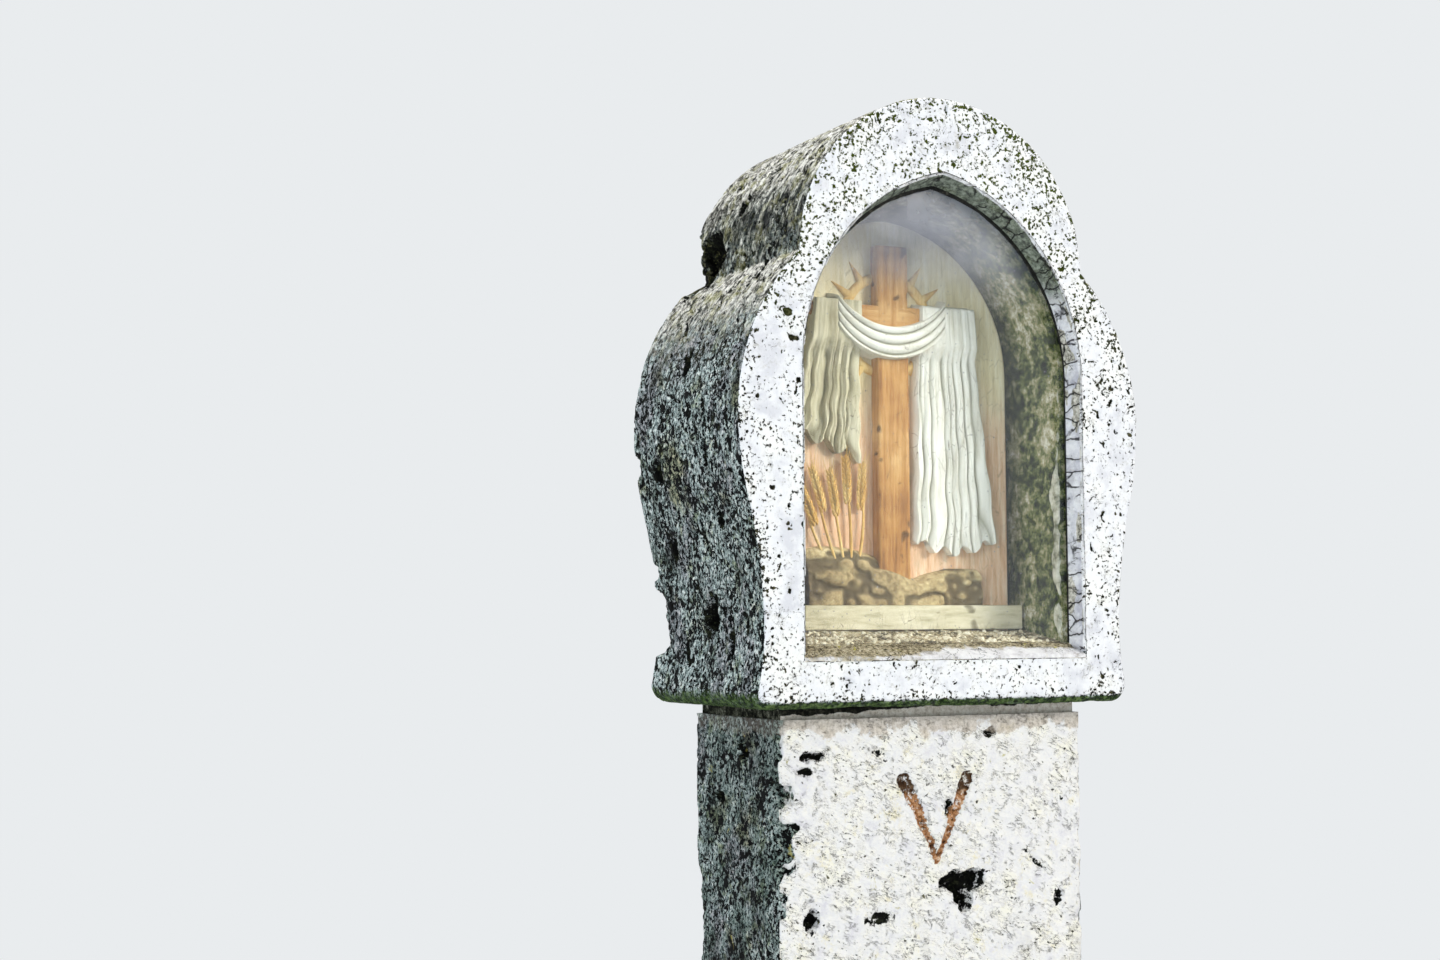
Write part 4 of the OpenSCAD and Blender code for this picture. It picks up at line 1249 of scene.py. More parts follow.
class Output:
    """A node's output: a number or a colour that differs from place to place. Every method adds nodes."""

    def __init__(self, finish, socket):
        self.finish, self.socket = finish, socket

    def __add__(self, other):
        return self.finish.math("ADD", self, other)

    def __sub__(self, other):
        return self.finish.math("SUBTRACT", self, other)

    def __rsub__(self, other):
        return self.finish.math("SUBTRACT", other, self)

    def __mul__(self, other):
        return self.finish.math("MULTIPLY", self, other)

    def __abs__(self):
        return self.finish.math("ABSOLUTE", self)

    def or_more(self, other):
        """The larger of two numbers, which is the union of two masks."""
        return self.finish.math("MAXIMUM", self, other)

    def between(self, low, high, to_low=0.0, to_high=1.0):
        """A number carried smoothly from one range to another, and held at its ends."""
        inputs = {"Value": self, "From Min": low, "From Max": high, "To Min": to_low, "To Max": to_high}
        return self.finish.add("MapRange", inputs, interpolation_type="SMOOTHSTEP")

    def ramp(self, *stops):
        """Colours at given places along a number, blended between."""
        node = self.finish.tree.nodes.new("ShaderNodeValToRGB")
        self.finish.plug(node.inputs[0], self)
        elements = node.color_ramp.elements
        for number, (place, code) in enumerate(stops):
            element = elements[number] if number < 2 else elements.new(place)
            element.position = place
            element.color = colour(code)
        return Output(self.finish, node.outputs[0])

    def mix(self, share, other, blend="MIX"):
        """A colour with a share of another one over it."""
        other = colour(other) if isinstance(other, str) else other
        return self.finish.add("Mix", {0: share, 6: self, 7: other}, 2, data_type="RGBA", blend_type=blend)

    def tint(self, share, other):
        """A colour multiplied by another one, as far as the share says."""
        return self.mix(share, self.mix(1.0, other, "MULTIPLY"))


class Finish:
    """A material under construction: its methods add nodes and return their outputs."""

    def __init__(self, name):
        self.material = bpy.data.materials.new(name)
        self.material.use_nodes = True
        self.tree = self.material.node_tree
        self.shader = self.tree.nodes["Principled BSDF"]
        self.place = self.add("TexCoord", {}, "Object")

    def add(self, kind, inputs, output=0, **settings):
        """A shader node: its settings are set first, then each input is linked or given its value."""
        node = self.tree.nodes.new("ShaderNode" + kind)
        for key, value in settings.items():
            setattr(node, key, value)
        for key, value in inputs.items():
            self.plug(node.inputs[key], value)
        return Output(self, node.outputs[output])

    def plug(self, socket, value):
        """Links a socket to an output, or sets its value."""
        if isinstance(value, Output):
            self.tree.links.new(value.socket, socket)
        else:
            socket.default_value = value

    def math(self, operation, one, two=0.0):
        """One step of arithmetic."""
        return self.add("Math", {0: one, 1: two}, operation=operation)

    def drawn(self, longer, turn=(0, 0, 0)):
        """The place in space for a pattern that is drawn out so many times along X, Y and Z, and then
        turned."""
        inputs = {"Vector": self.place, "Scale": longer, "Rotation": turn}
        return self.add("Mapping", inputs, vector_type="TEXTURE")

    def bent(self, size, reach, place):
        """A place, pushed about by noise of a size, as far as half the reach either way."""
        inputs = {"Vector": self.place, "Scale": 1 / size, "Detail": 3.0}
        swirl = self.add("TexNoise", inputs, "Color")
        push = self.add("VectorMath", {0: swirl, 1: (0.5,) * 3}, operation="SUBTRACT")
        inputs = {0: push, 1: (reach,) * 3, 2: place}
        return self.add("VectorMath", inputs, operation="MULTIPLY_ADD")

    def noise(self, size, detail=4, coarse=0.55, place=None, warp=0.0):
        """Noise from 0 to 1 whose lumps are about the given size."""
        inputs = {"Vector": place or self.place, "Scale": 1 / size, "Detail": detail, "Roughness": coarse}
        return self.add("TexNoise", {**inputs, "Distortion": warp})

    def cells(self, size, feature="F1", place=None):
        """Distance to the nearest cell point, or to the cells' borders, for cells of the given size."""
        inputs = {"Vector": place or self.place, "Scale": 1 / size}
        return self.add("TexVoronoi", inputs, "Distance", feature=feature)

    def value(self, key):
        """A number that the shape left on its vertices."""
        return self.add("Attribute", {}, "Fac", attribute_name=key)

    def ragged(self, key, grain, amount):
        """The same with its edges roughened: fine noise is added to it."""
        return self.value(key) + (self.noise(grain, 5, 0.7) - 0.5) * amount

    def along(self, axis, grain=None, amount=0.0, coarse=0.6):
        """How far along X, Y or Z a place lies, in metres, and with a grain, noise added to roughen a
        border."""
        far = self.add("SeparateXYZ", {"Vector": self.place}, axis)
        return far + self.noise(grain, 5, coarse) * amount if grain else far

    def done(self, base, roughness, specular, *bumps):
        """Plugs in the colour, the roughness and the bumps, and returns the material. A bump is a number
        from 0 to 1 and the height that it stands for, on top of the one before."""
        inputs = self.shader.inputs
        self.plug(inputs["Base Color"], base)
        self.plug(inputs["Roughness"], roughness)
        inputs["Specular IOR Level"].default_value = specular
        under = {}
        for height, distance in bumps:
            bump = {"Height": height, "Distance": distance, "Strength": 1.0, **under}
            under = {"Normal": self.add("Bump", bump)}
        for key, normal in under.items():
            self.plug(inputs[key], normal)
        return self.material

    def blended(self, share, other):
        """Shows the main shader with a share of another one, and returns the material."""
        surface = self.tree.nodes["Material Output"].inputs["Surface"]
        main = Output(self, self.shader.outputs[0])
        self.plug(surface, self.add("MixShader", {0: share, 1: main, 2: other}))
        return self.material


# %% [markdown]
# ### Bare tufa
# Bare tufa is grey-green with black pits that stand upright, a millimetre or two wide. Both come from noise
# that is drawn out along Z: one gives the tone of the stone, and wherever another falls under a limit there
# is a pit. The limit rises and falls with a wider noise, so that the pits come in swarms. Soot, rain and
# algae have tinted it in patches, and each tint multiplies the colour below it, so the grain stays.

# %% Bare tufa
PIT_SWING, PIT_BLUR = 0.30, 0.0175


def pits(finish, size, limit, place=None, swarm=0.04):
    """1 in the pits and 0 between them: noise is under limit + swing * (wide noise - 1/2)."""
    level = (finish.noise(swarm, 3, 0.5) - 0.5) * PIT_SWING + limit
    return (finish.noise(size, 3, 0.6, place) - level).between(PIT_BLUR, -PIT_BLUR)


def bare_tufa(finish, coarse, tall, lean):
    """The colour of bare tufa, and a mask of its pits: the size of the coarse ones is given, how much
    taller than wide all are, and how far they lean."""
    upright = finish.drawn((1, 1, tall), lean)
    stone = finish.noise(0.0052, 8, 0.85, upright).ramp(
        (0.40, "222826"), (0.45, "6E7D7A"), (0.51, "B2C1BD"), (0.56, "DFE6E0"), (0.64, "FBF9F0"))
    soot = finish.noise(0.045, 5, 0.65, finish.drawn((1, 1, 2.4), lean)).between(0.52, 0.68)
    brown = finish.noise(0.070, 4, 0.6).between(0.54, 0.66)
    lilac = finish.noise(0.060, 4, 0.6, finish.drawn((1, 1, 1.6), lean)).between(0.50, 0.62, 0.0, 0.8)
    green = finish.noise(0.024, 6, 0.7).between(0.55, 0.64, 0.0, 0.7)
    for share, code in ((soot, "9BA09A"), (brown, "D8CFB2"), (lilac, "D9CDD6"), (green, "A9AE7C")):
        stone = stone.tint(share, code)
    black = pits(finish, 0.0034, 0.458, upright).or_more(pits(finish, coarse, 0.424, upright, 0.05))
    return stone.mix(black, "090A0A"), black


def soot_and_shade_black(finish):
    """What lies in the hollows of bare stone: soot, a little green where shallow, and painted shade."""
    return finish.noise(0.008, 5, 0.7).ramp(
        (0.38, "030303"), (0.52, "0B0C09"), (0.61, "26291C"), (0.70, "4D513C"))


# %% [markdown]
# ### Limewashed tufa
# Over the bare stone lies limewash, white with a breath of grey, wherever the shape says that wash is left;
# noise frays its edge. It is full of small dark specks, which are pits again, and of short veins, which are
# the places where a warped noise passes through its middle value. The specks grow denser and bolder towards
# the top and along the arris. Where the stone is bare it is blacker high up, and where it faces up it gets a
# painted highlight of the light from above. More grows in the wet: green in the pits near the top,
# yellow-green lichen on the shoulders and moss on the rolled foot. The underside of the roll is dark with
# drips and with painted shade. The chamber's walls have a ramp of damp greens of their own, with painted
# shade beside the relief board.

# %% Limewashed tufa
def limewashed_tufa():
    """The head stone's finish."""
    finish = Finish("limewashed_tufa")
    height, wash = finish.along("Z"), finish.value("wash")
    high_up = height.between(HEAD_Z + 0.34, HEAD_Z + 0.62)
    top_light_and_lichen = finish.ragged("sky", 0.014, 0.5).between(0.30, 0.62)
    stone, black = bare_tufa(finish, 0.0090, 1.25, (0.16, 0, 0))
    grainy = finish.noise(0.0085, 8, 0.80, finish.drawn((1, 1, 1.8), (0.16, 0, 0)))
    stone = stone.mix(high_up * 0.9, grainy.ramp(
        (0.46, "050504"), (0.50, "2C2E27"), (0.54, "8A8C7D"), (0.58, "DAD8C9"), (0.65, "FAF6EA")))
    stone = stone.tint(finish.noise(0.036, 6, 0.65).between(0.48, 0.60, 0.0, 0.75) * high_up, "4E4E4B")
    # Bare stone that faces up is painted lighter here: a painted highlight of the light from above.
    stone = stone.mix(top_light_and_lichen, grainy.ramp(
        (0.42, "090907"), (0.46, "5B594F"), (0.50, "B3AFA2"), (0.56, "ECE8DC"), (0.64, "FAF6EA")))

    limit = height.between(HEAD_Z + 0.05, HEAD_Z + HEAD_H, 0.358, 0.400) + finish.value("rim") * 0.058
    blotch = height.between(HEAD_Z + 0.30, HEAD_Z + HEAD_H, 0.300, 0.378)
    vein = abs(finish.noise(0.011, 4, 0.55, warp=0.5) - 0.5).between(0.007, 0.007 / 3)
    vein = vein * finish.noise(0.026, 3).between(0.56, 0.61) * 0.8
    speck = pits(finish, 0.0044, limit).or_more(vein)
    speck = speck.or_more(pits(finish, 0.0080, blotch, finish.drawn((1, 1, 0.8)), 0.05))
    moss = finish.noise(0.006, 4, 0.7).ramp((0.36, "0B0B08"), (0.52, "26251A"), (0.66, "5A573C"))
    moss = moss.mix(high_up * finish.noise(0.03, 3), "56641F")
    milk = finish.noise(0.040, 5, 0.6).ramp((0.34, "DFE0E5"), (0.46, "F1F2F4"), (0.62, "F8F8F5"))
    milk = milk.mix(finish.noise(0.014, 6, 0.75).between(0.55, 0.72, 0.0, 0.7), "A29E8E").mix(speck, moss)

    washed = finish.ragged("wash", 0.008, 2.2).between(0.44, 0.54)
    hollow = finish.ragged("hollow", 0.009, 1.9).between(0.44, 0.62)
    # Pits, holes, chips and the notch under the lobe are painted near-black: soot, and painted shade.
    base = stone.mix(washed, milk).mix(hollow, soot_and_shade_black(finish).mix(washed, moss))
    lichen = (high_up * 0.6).or_more(top_light_and_lichen) * finish.noise(0.026, 6, 0.70).between(0.52, 0.60)
    base = base.mix(lichen * wash.between(0.7, 0.1) * 0.6, finish.noise(0.005, 5, 0.7).ramp(
        (0.38, "3C401C"), (0.48, "97955A"), (0.56, "C6C193"), (0.66, "E6E0C8")))
    # The underside of the rolled foot is painted dark: drips, and painted shade under the roll.
    streak = finish.noise(0.009, 5, 0.7, finish.drawn((2.9, 2.9, 0.5)))
    under = height.between(HEAD_Z + 0.0115, HEAD_Z + 0.0035) * streak.between(0.38, 0.48)
    base = base.mix(under, streak.ramp((0.42, "0A0C08"), (0.64, "2E3822")))
    low_down = finish.along("Z", 0.030, -0.030, 0.65).between(HEAD_Z + 0.006, HEAD_Z - 0.004, 0.0, 0.85)
    base = base.mix(low_down * wash.between(0.5, 0.1), finish.noise(0.006, 6, 0.75).ramp(
        (0.38, "0C1008"), (0.48, "2F4420"), (0.60, "6B8448")))

    damp = (finish.noise(0.013, 7, 0.75) * 0.62 + finish.noise(0.060, 4) * 0.38).ramp(
        (0.40, "0B0E06"), (0.46, "353F1C"), (0.50, "6C7640"),
        (0.53, "98946A"), (0.57, "C2B99C"), (0.62, "F0ECE0"))
    # The wall is painted darker beside the relief board: painted shade.
    shade_beside_board = finish.along("Y").between(board_low[1] - 0.040, board_low[1] - 0.005, 0.0, 0.6)
    base = base.mix(finish.value("moss"), damp.tint(shade_beside_board, "3C4038"))
    low = (black * (1 - washed)).or_more(speck * washed)
    ribs = finish.noise(0.0075, 6, 0.7, finish.drawn((1, 1, 1.8)))
    return finish.done(base, hollow.between(0, 1, 0.86, 1.0), 0.2, (ribs, 0.0030), (1 - low, 0.0016))


head_finish = limewashed_tufa()
for piece in (head_front, head_sides, head_back):
    dress(piece, "head_stone", head_finish)

# %% [markdown]
# ### The pillar's tufa
# The pillar has the same stone with a thin, worn wash: cream with yellowish and lavender clouds, fine
# slanting cracks and mossy holes, and rain has drawn brown runs down it. Its sides are mottled, and the
# damp of the ground darkens its foot. At its top the joint's mortar was smeared over it. The numeral's
# groove keeps scraps of ochre paint, darker where the strokes begin.

# %% Pillar tufa
SLANT = (0, 0.42, 0)


def pillar_tufa(name, numeral):
    """The finish of the pillar and, without the numeral, of the foot stone."""
    finish = Finish(name)
    stone, black = bare_tufa(finish, 0.0100, 1.15, (0.10, 0, 0))
    stone = stone.tint(finish.noise(0.038, 5, 0.6).between(0.62, 0.40), "B4BDB8")

    cream = finish.noise(0.030, 7, 0.75).ramp(
        (0.34, "E4E2E6"), (0.43, "F1F0EF"), (0.52, "F8F6F1"), (0.64, "FBF8EA"))
    cream = cream.mix(finish.noise(0.034, 6, 0.75).between(0.56, 0.70, 0.0, 0.65), "F0E5B6")
    slanting = finish.drawn((2.2, 2.2, 0.9), SLANT)
    line = abs(finish.noise(0.010, 6, 0.75, slanting, 0.5) - 0.5)
    scratches = line.between(0.024, 0.005, 0.0, 0.60) * finish.noise(0.030, 4, 0.6).between(0.44, 0.58)
    cracks = line.between(0.011, 0.004) * finish.noise(0.018, 4, 0.6).between(0.51, 0.57)
    peppered = finish.noise(0.150, 3, 0.5).between(0.40, 0.64, 0.318, 0.352)
    strokes = pits(finish, 0.0038, peppered, finish.drawn((1.5, 1.5, 0.9), SLANT), 0.030)
    marks = (cracks * 0.85).or_more(strokes)
    cream = cream.mix(scratches, "948F92").mix(marks, finish.noise(0.007, 4).ramp(
        (0.36, "0F0F0B"), (0.50, "38372A"), (0.62, "6D6A4A")))
    run = finish.noise(0.034, 5, 0.6, finish.drawn((1, 1, 5))).between(0.50, 0.68, 0.0, 0.7)
    cream = cream.tint(run * finish.along("Z").between(PILLAR_TOP - 0.15, PILLAR_TOP - 0.55), "C9C2AC")

    washed = finish.ragged("wash", 0.010, 1.5).between(0.40, 0.54)
    base = stone.mix(washed, cream)
    # Hollows, holes and chips are painted near-black: soot, and painted shade.
    base = base.mix(finish.ragged("hollow", 0.0085, 3.4).between(0.54, 0.68), soot_and_shade_black(finish))
    base = base.mix(finish.noise(0.022, 5, 0.6, warp=0.5).between(0.67, 0.74, 0.0, 0.75), "BDB464")
    ground = finish.along("Z", 0.16, 0.60).between(0.85, 0.30, 0.0, 0.85)
    base = base.tint(ground, finish.noise(0.030, 6, 0.7).ramp(
        (0.38, "5C6348"), (0.50, "8E8F74"), (0.62, "BDB59C")))
    if numeral:
        smeared = finish.along("Z") + finish.noise(0.034, 6, 0.7) * 0.080
        smeared = smeared.between(PILLAR_TOP + 0.022, PILLAR_TOP + 0.028, 0.0, 0.80)
        smeared = smeared * finish.value("wash").between(0.0, 0.5, 0.25, 1.0)
        base = base.mix(smeared, finish.noise(0.006, 6, 0.75).ramp(
            (0.36, "948878"), (0.47, "C4B8A9"), (0.60, "E2D8CC")))
        begins = finish.along("Z", 0.010, 0.036, 0.7)
        begins = begins.between(PILLAR_TOP - 0.076, PILLAR_TOP - 0.064, 0.0, 0.85)
        ochre = finish.noise(0.006, 5, 0.7).ramp(
            (0.36, "35261A"), (0.44, "8B5E3C"), (0.53, "BE8B60"), (0.66, "E0C3A2")).mix(begins, "1C150E")
        paint = finish.ragged("numeral", 0.004, 1.3).between(0.34, 0.50)
        base = base.mix(paint * finish.noise(0.008, 6, 0.75).between(0.38, 0.46), ochre)
    low = (black * (1 - washed)).or_more(marks * washed)
    return finish.done(base, 0.9, 0.2, (finish.noise(0.016, 8, 0.75, slanting), 0.0048), (1 - low, 0.0016))


pillar_finish = pillar_tufa("pillar_tufa", True)
dress(pillar_top, "pillar_stone", pillar_finish)
dress(pillar_shaft, "pillar_stone", pillar_finish)
dress(foot_block, "foot_stone", pillar_tufa("foot_tufa", False))

# %% [markdown]
# ### Mortar, plaster and paint on the reveal
# Mortars are gritty: a ramp over fine noise, darker where crumbs are missing. A joint is pale where its
# mortar was smeared over the stone in front, and elsewhere dark and crumbly, which is damp and painted shade
# of the recessed joint; the pale band is narrower at the left. The sill is white in front and bare near the
# pane. The paint on the reveal is a grey lavender that has shrunk and cracked. Its cracks are the borders
# between Voronoi cells, kept only where a second noise allows, so that they break off as real ones do.

# %% Mortars and plaster
def gritty(name, stops, grain, hollow_colour, bump=0.0018):
    """A crumbly mortar with dark hollows."""
    finish = Finish(name)
    crumbs = finish.noise(grain, 6, 0.75)
    base = (crumbs * 0.6 + finish.noise(grain * 7, 4) * 0.4).ramp(*stops)
    base = base.mix(finish.value("hollow").between(0.25, 0.8, 0.0, 0.85), hollow_colour)
    return finish.done(base, 0.93, 0.2, (crumbs, bump))


def joint_mortar(name, bed):
    """A joint's mortar: pale where it was smeared level with the stone below, elsewhere dark with damp and
    painted shade of the recessed joint; the pale band is narrower at the left, where that shade is deeper."""
    finish = Finish(name)
    tone, front = finish.noise(0.006, 6, 0.75), finish.value("front")
    # Dark mortar: damp, and painted shade of the recessed joint.
    dark = tone.ramp((0.36, "080907"), (0.50, "1A1B15"), (0.64, "47453A"))
    crumbs = finish.noise(0.0085, 7, 0.8).ramp(
        (0.40, "060705"), (0.48, "23241B"), (0.55, "5A5B4D"), (0.64, "9A9A8A"))
    pale = tone.ramp((0.36, "BDB1A1"), (0.48, "E2D8CB"), (0.62, "F8F2E8"))
    low = corners(bed)[0][2]
    # The pale band is lower at the left, where painted shade under the head's roll lies over the joint.
    level = finish.along("X").between(-0.20, 0.05, low + 0.0125, low + 0.0200)
    smeared = (finish.along("Z", 0.030, 0.016) - level).between(0.0006, -0.0006) * front.between(0.4, 0.9)
    return finish.done(crumbs.mix(front, dark).mix(smeared, pale), 0.93, 0.2, (tone, 0.0015))


def sill_mortar():
    """The sill: limewashed like the face in front, and near the pane bare mortar with yellow lichen."""
    finish = Finish("sill_mortar")
    white = finish.noise(0.018, 7, 0.75).ramp((0.36, "BDB8B2"), (0.45, "E8E6E7"), (0.58, "FAF9F8"))
    bare = finish.noise(0.004, 6, 0.75).ramp(
        (0.36, "2C281E"), (0.45, "857A61"), (0.54, "BDB191"), (0.66, "E6DFCC"))
    back = finish.along("Y") + finish.noise(0.016, 6, 0.70) * 0.030 + finish.along("X").between(
        0.02, -0.07, 0.0, 0.017)
    back = back.between(FACE_Y + 0.030, FACE_Y + 0.036)
    line = abs(finish.noise(0.022, 5, 0.6, warp=0.6) - 0.5)
    cracks = line.between(0.010, 0.003) * finish.noise(0.04, 3).between(0.46, 0.54)
    base = white.mix(back, bare).mix(cracks, "1F1C16")
    base = base.mix(finish.ragged("hollow", 0.004, 0.6).between(0.45, 0.80, 0.0, 0.75), "4A4638")
    lichen = finish.noise(0.017, 6, 0.65, warp=0.5).between(0.60, 0.66, 0.0, 0.9) * back.between(
        0.0, 0.6, 0.15, 1.0)
    base = base.mix(lichen, finish.noise(0.004, 4).ramp(
        (0.38, "5E5A1C"), (0.50, "A39A38"), (0.62, "D2C968")))
    return finish.done(base, 0.93, 0.2, (finish.noise(0.006, 7, 0.75), 0.0030), (1 - cracks, 0.0012))


def old_plaster():
    """What is left of the chamber's plaster: off-white, stained green and grey."""
    finish = Finish("wall_plaster")
    base = finish.noise(0.012, 6, 0.7).ramp((0.34, "6A6A58"), (0.48, "B9B6A6"), (0.62, "DEDBD0"))
    return finish.done(base, 0.9, 0.2, (finish.noise(0.004, 5, 0.7), 0.0012))


def reveal_paint():
    """Cracked grey-lavender paint, limewashed at its front edge, green and dark towards the apex. The
    cracks run across the reveal, and the paint between them has curled up into shallow domes."""
    finish = Finish("reveal_paint")
    base = finish.noise(0.026, 7, 0.70).ramp((0.36, "BEBEC8"), (0.46, "DADAE0"), (0.60, "F1F1F3"))
    base = base.mix(finish.noise(0.012, 6, 0.75).between(0.54, 0.70, 0.0, 0.55), "94928C")
    base = base.mix(finish.ragged("flake", 0.005, 0.5).between(0.4, 0.7), finish.noise(0.005, 5, 0.7).ramp(
        (0.36, "6E6A5C"), (0.48, "B4B0A3"), (0.62, "E4E1D8")))
    high_up = finish.along("Z", 0.040, 0.060).between(HEAD_Z + 0.49, HEAD_Z + 0.54, 0.0, 0.92)
    base = base.mix(high_up, finish.noise(0.007, 6, 0.75).ramp(
        (0.38, "1E2413"), (0.48, "56614A"), (0.58, "8D9684")))

    bent = finish.bent(0.018, 0.014, finish.drawn((1.0, 2.4, 0.8)))
    apart = finish.cells(0.022, "DISTANCE_TO_EDGE", bent)
    wide = apart.between(0.060, 0.014) * finish.noise(0.040, 3).between(0.40, 0.50)
    fine = finish.cells(0.009, "DISTANCE_TO_EDGE", bent).between(0.055, 0.014)
    cracks = wide.or_more(fine * finish.noise(0.025, 3).between(0.52, 0.60, 0.0, 0.8))
    milk = finish.noise(0.010, 6, 0.75).ramp((0.40, "C9C7C4"), (0.48, "EFEFF1"), (0.62, "F8F8F6"))
    milk = milk.mix(pits(finish, 0.0040, 0.385), "2E2B1D")
    in_front = finish.along("Y", 0.010, 0.006, 0.7).between(FACE_Y + 0.0070, FACE_Y + 0.0052)
    base = base.mix(cracks * 0.92, "1B1A19").mix(in_front, milk)
    coarse = finish.noise(0.006, 6, 0.70)
    return finish.done(
        base, 0.75, 0.3, (coarse, 0.0016), (apart.between(0.0, 0.30), 0.0020), (1 - cracks, 0.0012))


dress(head_mortar, "head_joint", joint_mortar("head_joint_mortar", "head_joint"))
dress(foot_mortar, "foot_joint", joint_mortar("foot_joint_mortar", "foot_joint"))
dress(sill_bed, "niche_sill", sill_mortar())
FLOOR_STOPS = ((0.40, "1C1811"), (0.46, "6E6048"), (0.53, "B9A985"), (0.62, "ECE3CF"))
dress(floor_bed, "niche_floor_bed", gritty(
    "floor_mortar", FLOOR_STOPS, 0.0042, "1A1610", 0.003))
GRIT_STOPS = ((0.38, "8E8268"), (0.50, "D6CAB0"), (0.62, "F6F0E2"))
dress(grit, "niche_floor_bed", gritty("floor_grit", GRIT_STOPS, 0.0042, "8E8268"))
dress(wall_plaster, "niche_plaster", old_plaster())
dress(painted_reveal, "reveal_coat", reveal_paint())

# %% [markdown]
# ### Seal and glass
# The seal is a dull black bead. The pane is real glass in the shader, with specks of lime dust on it and a
# grey-lavender haze that thickens near its top, which is dust and a painted reflection of the sky. Glass in
# a path tracer would keep the lamps' light out of the niche, so the pane casts no shadow.

# %% Seal and glass
def seal_black():
    """Old black putty with a little dust."""
    finish = Finish("seal")
    base = finish.noise(0.006, 5, 0.7).ramp((0.40, "0C0C0B"), (0.62, "2C2B27"), (0.75, "6B675B"))
    return finish.done(base, 0.7, 0.3, (finish.noise(0.003, 4), 0.0008))


def glass_with_dust_and_reflection():
    """Clear glass, with a dull shader mixed in by dust specks and a top haze of dust and painted reflection.
    """
    finish = Finish("pane")
    finish.done(colour("F2F6F4"), 0.02, 0.5)
    finish.shader.inputs["Transmission Weight"].default_value = 1.0
    finish.shader.inputs["IOR"].default_value = 1.45
    speck = finish.cells(0.010).between(0.10, 0.05) * finish.noise(0.03, 3).between(0.45, 0.60, 0.0, 0.8)
    # The haze near the top is dust and a painted reflection of the sky.
    dust_and_reflection_haze = finish.along("Z").between(HEAD_Z + 0.45, HEAD_Z + 0.61, 0.02, 0.60)
    dust_and_reflection_haze = dust_and_reflection_haze * finish.noise(0.10, 4, 0.5).between(0.30, 0.65, 0.55, 1.0)
    grey = finish.noise(0.06, 3).ramp((0.35, "8E919C"), (0.65, "B9BBC4"))
    return finish.blended(speck.or_more(dust_and_reflection_haze), finish.add("BsdfDiffuse", {"Color": grey}))


dress(seal_bead, "glass_seal", seal_black())
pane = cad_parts["glass_pane"]
pane.data.materials.clear()
pane.data.materials.append(glass_with_dust_and_reflection())
pane.visible_shadow = False

# %% [markdown]
# ### Old paint on the relief
# All the relief's parts are painted wood with the same ageing: brush streaks that run with the form, fine
# cracks and small bare spots. Their hollows, creases and valleys also get painted shade. Only the colours
# and the direction of the streaks differ, so one function makes all of them but the board's ground, which
# has a function of its own without painted shade.

# %% Painted wood
def painted_wood(name, stops, shade, streaks=(1, 1, 8), hollow="hollow", bare="8A6A45"):
    """Matt paint: a ramp over brush streaks, shaded in the hollows, rubbed through to bare wood in
    spots."""
    finish = Finish(name)
    brush = finish.noise(0.006, 5, 0.65, finish.drawn(streaks))
    cloud = finish.noise(0.050, 4, 0.55)
    base = (brush * 0.55 + cloud * 0.45).ramp(*stops)
    # Hollows, dents, creases and cloth valleys are painted darker: painted shade.
    base = base.mix(finish.value(hollow).between(0.25, 0.95, 0.0, 0.85), shade)
    base = base.mix(finish.noise(0.009, 6, 0.75).between(0.66, 0.72, 0.0, 0.5), bare)
    hair = finish.cells(0.011, "DISTANCE_TO_EDGE", finish.drawn((0.6, 1, 2))).between(0.020, 0.004)
    hair = hair * finish.noise(0.04, 2).between(0.50, 0.60, 0.0, 0.6)
    dull = cloud.between(0.3, 0.7, 0.60, 0.78)
    return finish.done(base.mix(hair, "5B4A34"), dull, 0.3, (brush, 0.0006), (1 - hair, 0.0005))


def ground_paint():
    """The board's ground: pale straw above, salmon and warm cream below, greyer in patches."""
    finish = Finish("cream_paint")
    brush = finish.noise(0.006, 5, 0.65, finish.drawn((1, 1, 10)))
    straw = brush.ramp((0.34, "DFCFA4"), (0.50, "F2E4BE"), (0.66, "FAF0D6"))
    salmon = brush.ramp((0.34, "D8A882"), (0.50, "ECC5A2"), (0.66, "F5DCC2"))
    height = finish.along("Z") + finish.noise(0.12, 3) * 0.12
    base = straw.mix(height.between(HEAD_Z + 0.48, HEAD_Z + 0.36), salmon)
    base = base.mix(finish.noise(0.07, 4, 0.6).between(0.56, 0.74, 0.0, 0.35), "9A9B84")
    hair = finish.cells(0.014, "DISTANCE_TO_EDGE", finish.drawn((0.5, 1, 2.2))).between(0.018, 0.004)
    rubbed = finish.noise(0.007, 6, 0.75).between(0.68, 0.74, 0.0, 0.6)
    base = base.mix(hair * 0.35, "6B5B40").mix(rubbed, "8F7A56")
    return finish.done(base, 0.72, 0.3, (brush, 0.0006))


UPWARD, ACROSS, ALONG_CLOTH = (1, 1, 16), (16, 1, 1), (1, 1, 10)
dress(relief_ground, "relief_board", ground_paint())
dress(ledge_bar, "relief_ledge", painted_wood(
    "ledge_paint", ((0.36, "A89E82"), (0.48, "CFC6A9"), (0.62, "E2DAC4")), "7E745C", (6, 1, 1)))
hill_stops = ((0.36, "7C6844"), (0.46, "A58F66"), (0.56, "C6B186"), (0.67, "E2D2A8"))
dress(hill, "relief_mound", painted_wood("olive_paint", hill_stops, "4A3B22", (1, 1, 1)))
timber_stops = ((0.36, "86572C"), (0.45, "B07C42"), (0.54, "C6965A"), (0.66, "DDB47E"))
for part, name, streaks in ((upright, "timber_paint", UPWARD), (arms, "timber_paint_across", ACROSS)):
    dress(part, "relief_cross", painted_wood(name, timber_stops, "4A3018", streaks))
cloth_stops = ((0.34, "D2CDBE"), (0.46, "EBE8DF"), (0.60, "F6F4EE"))
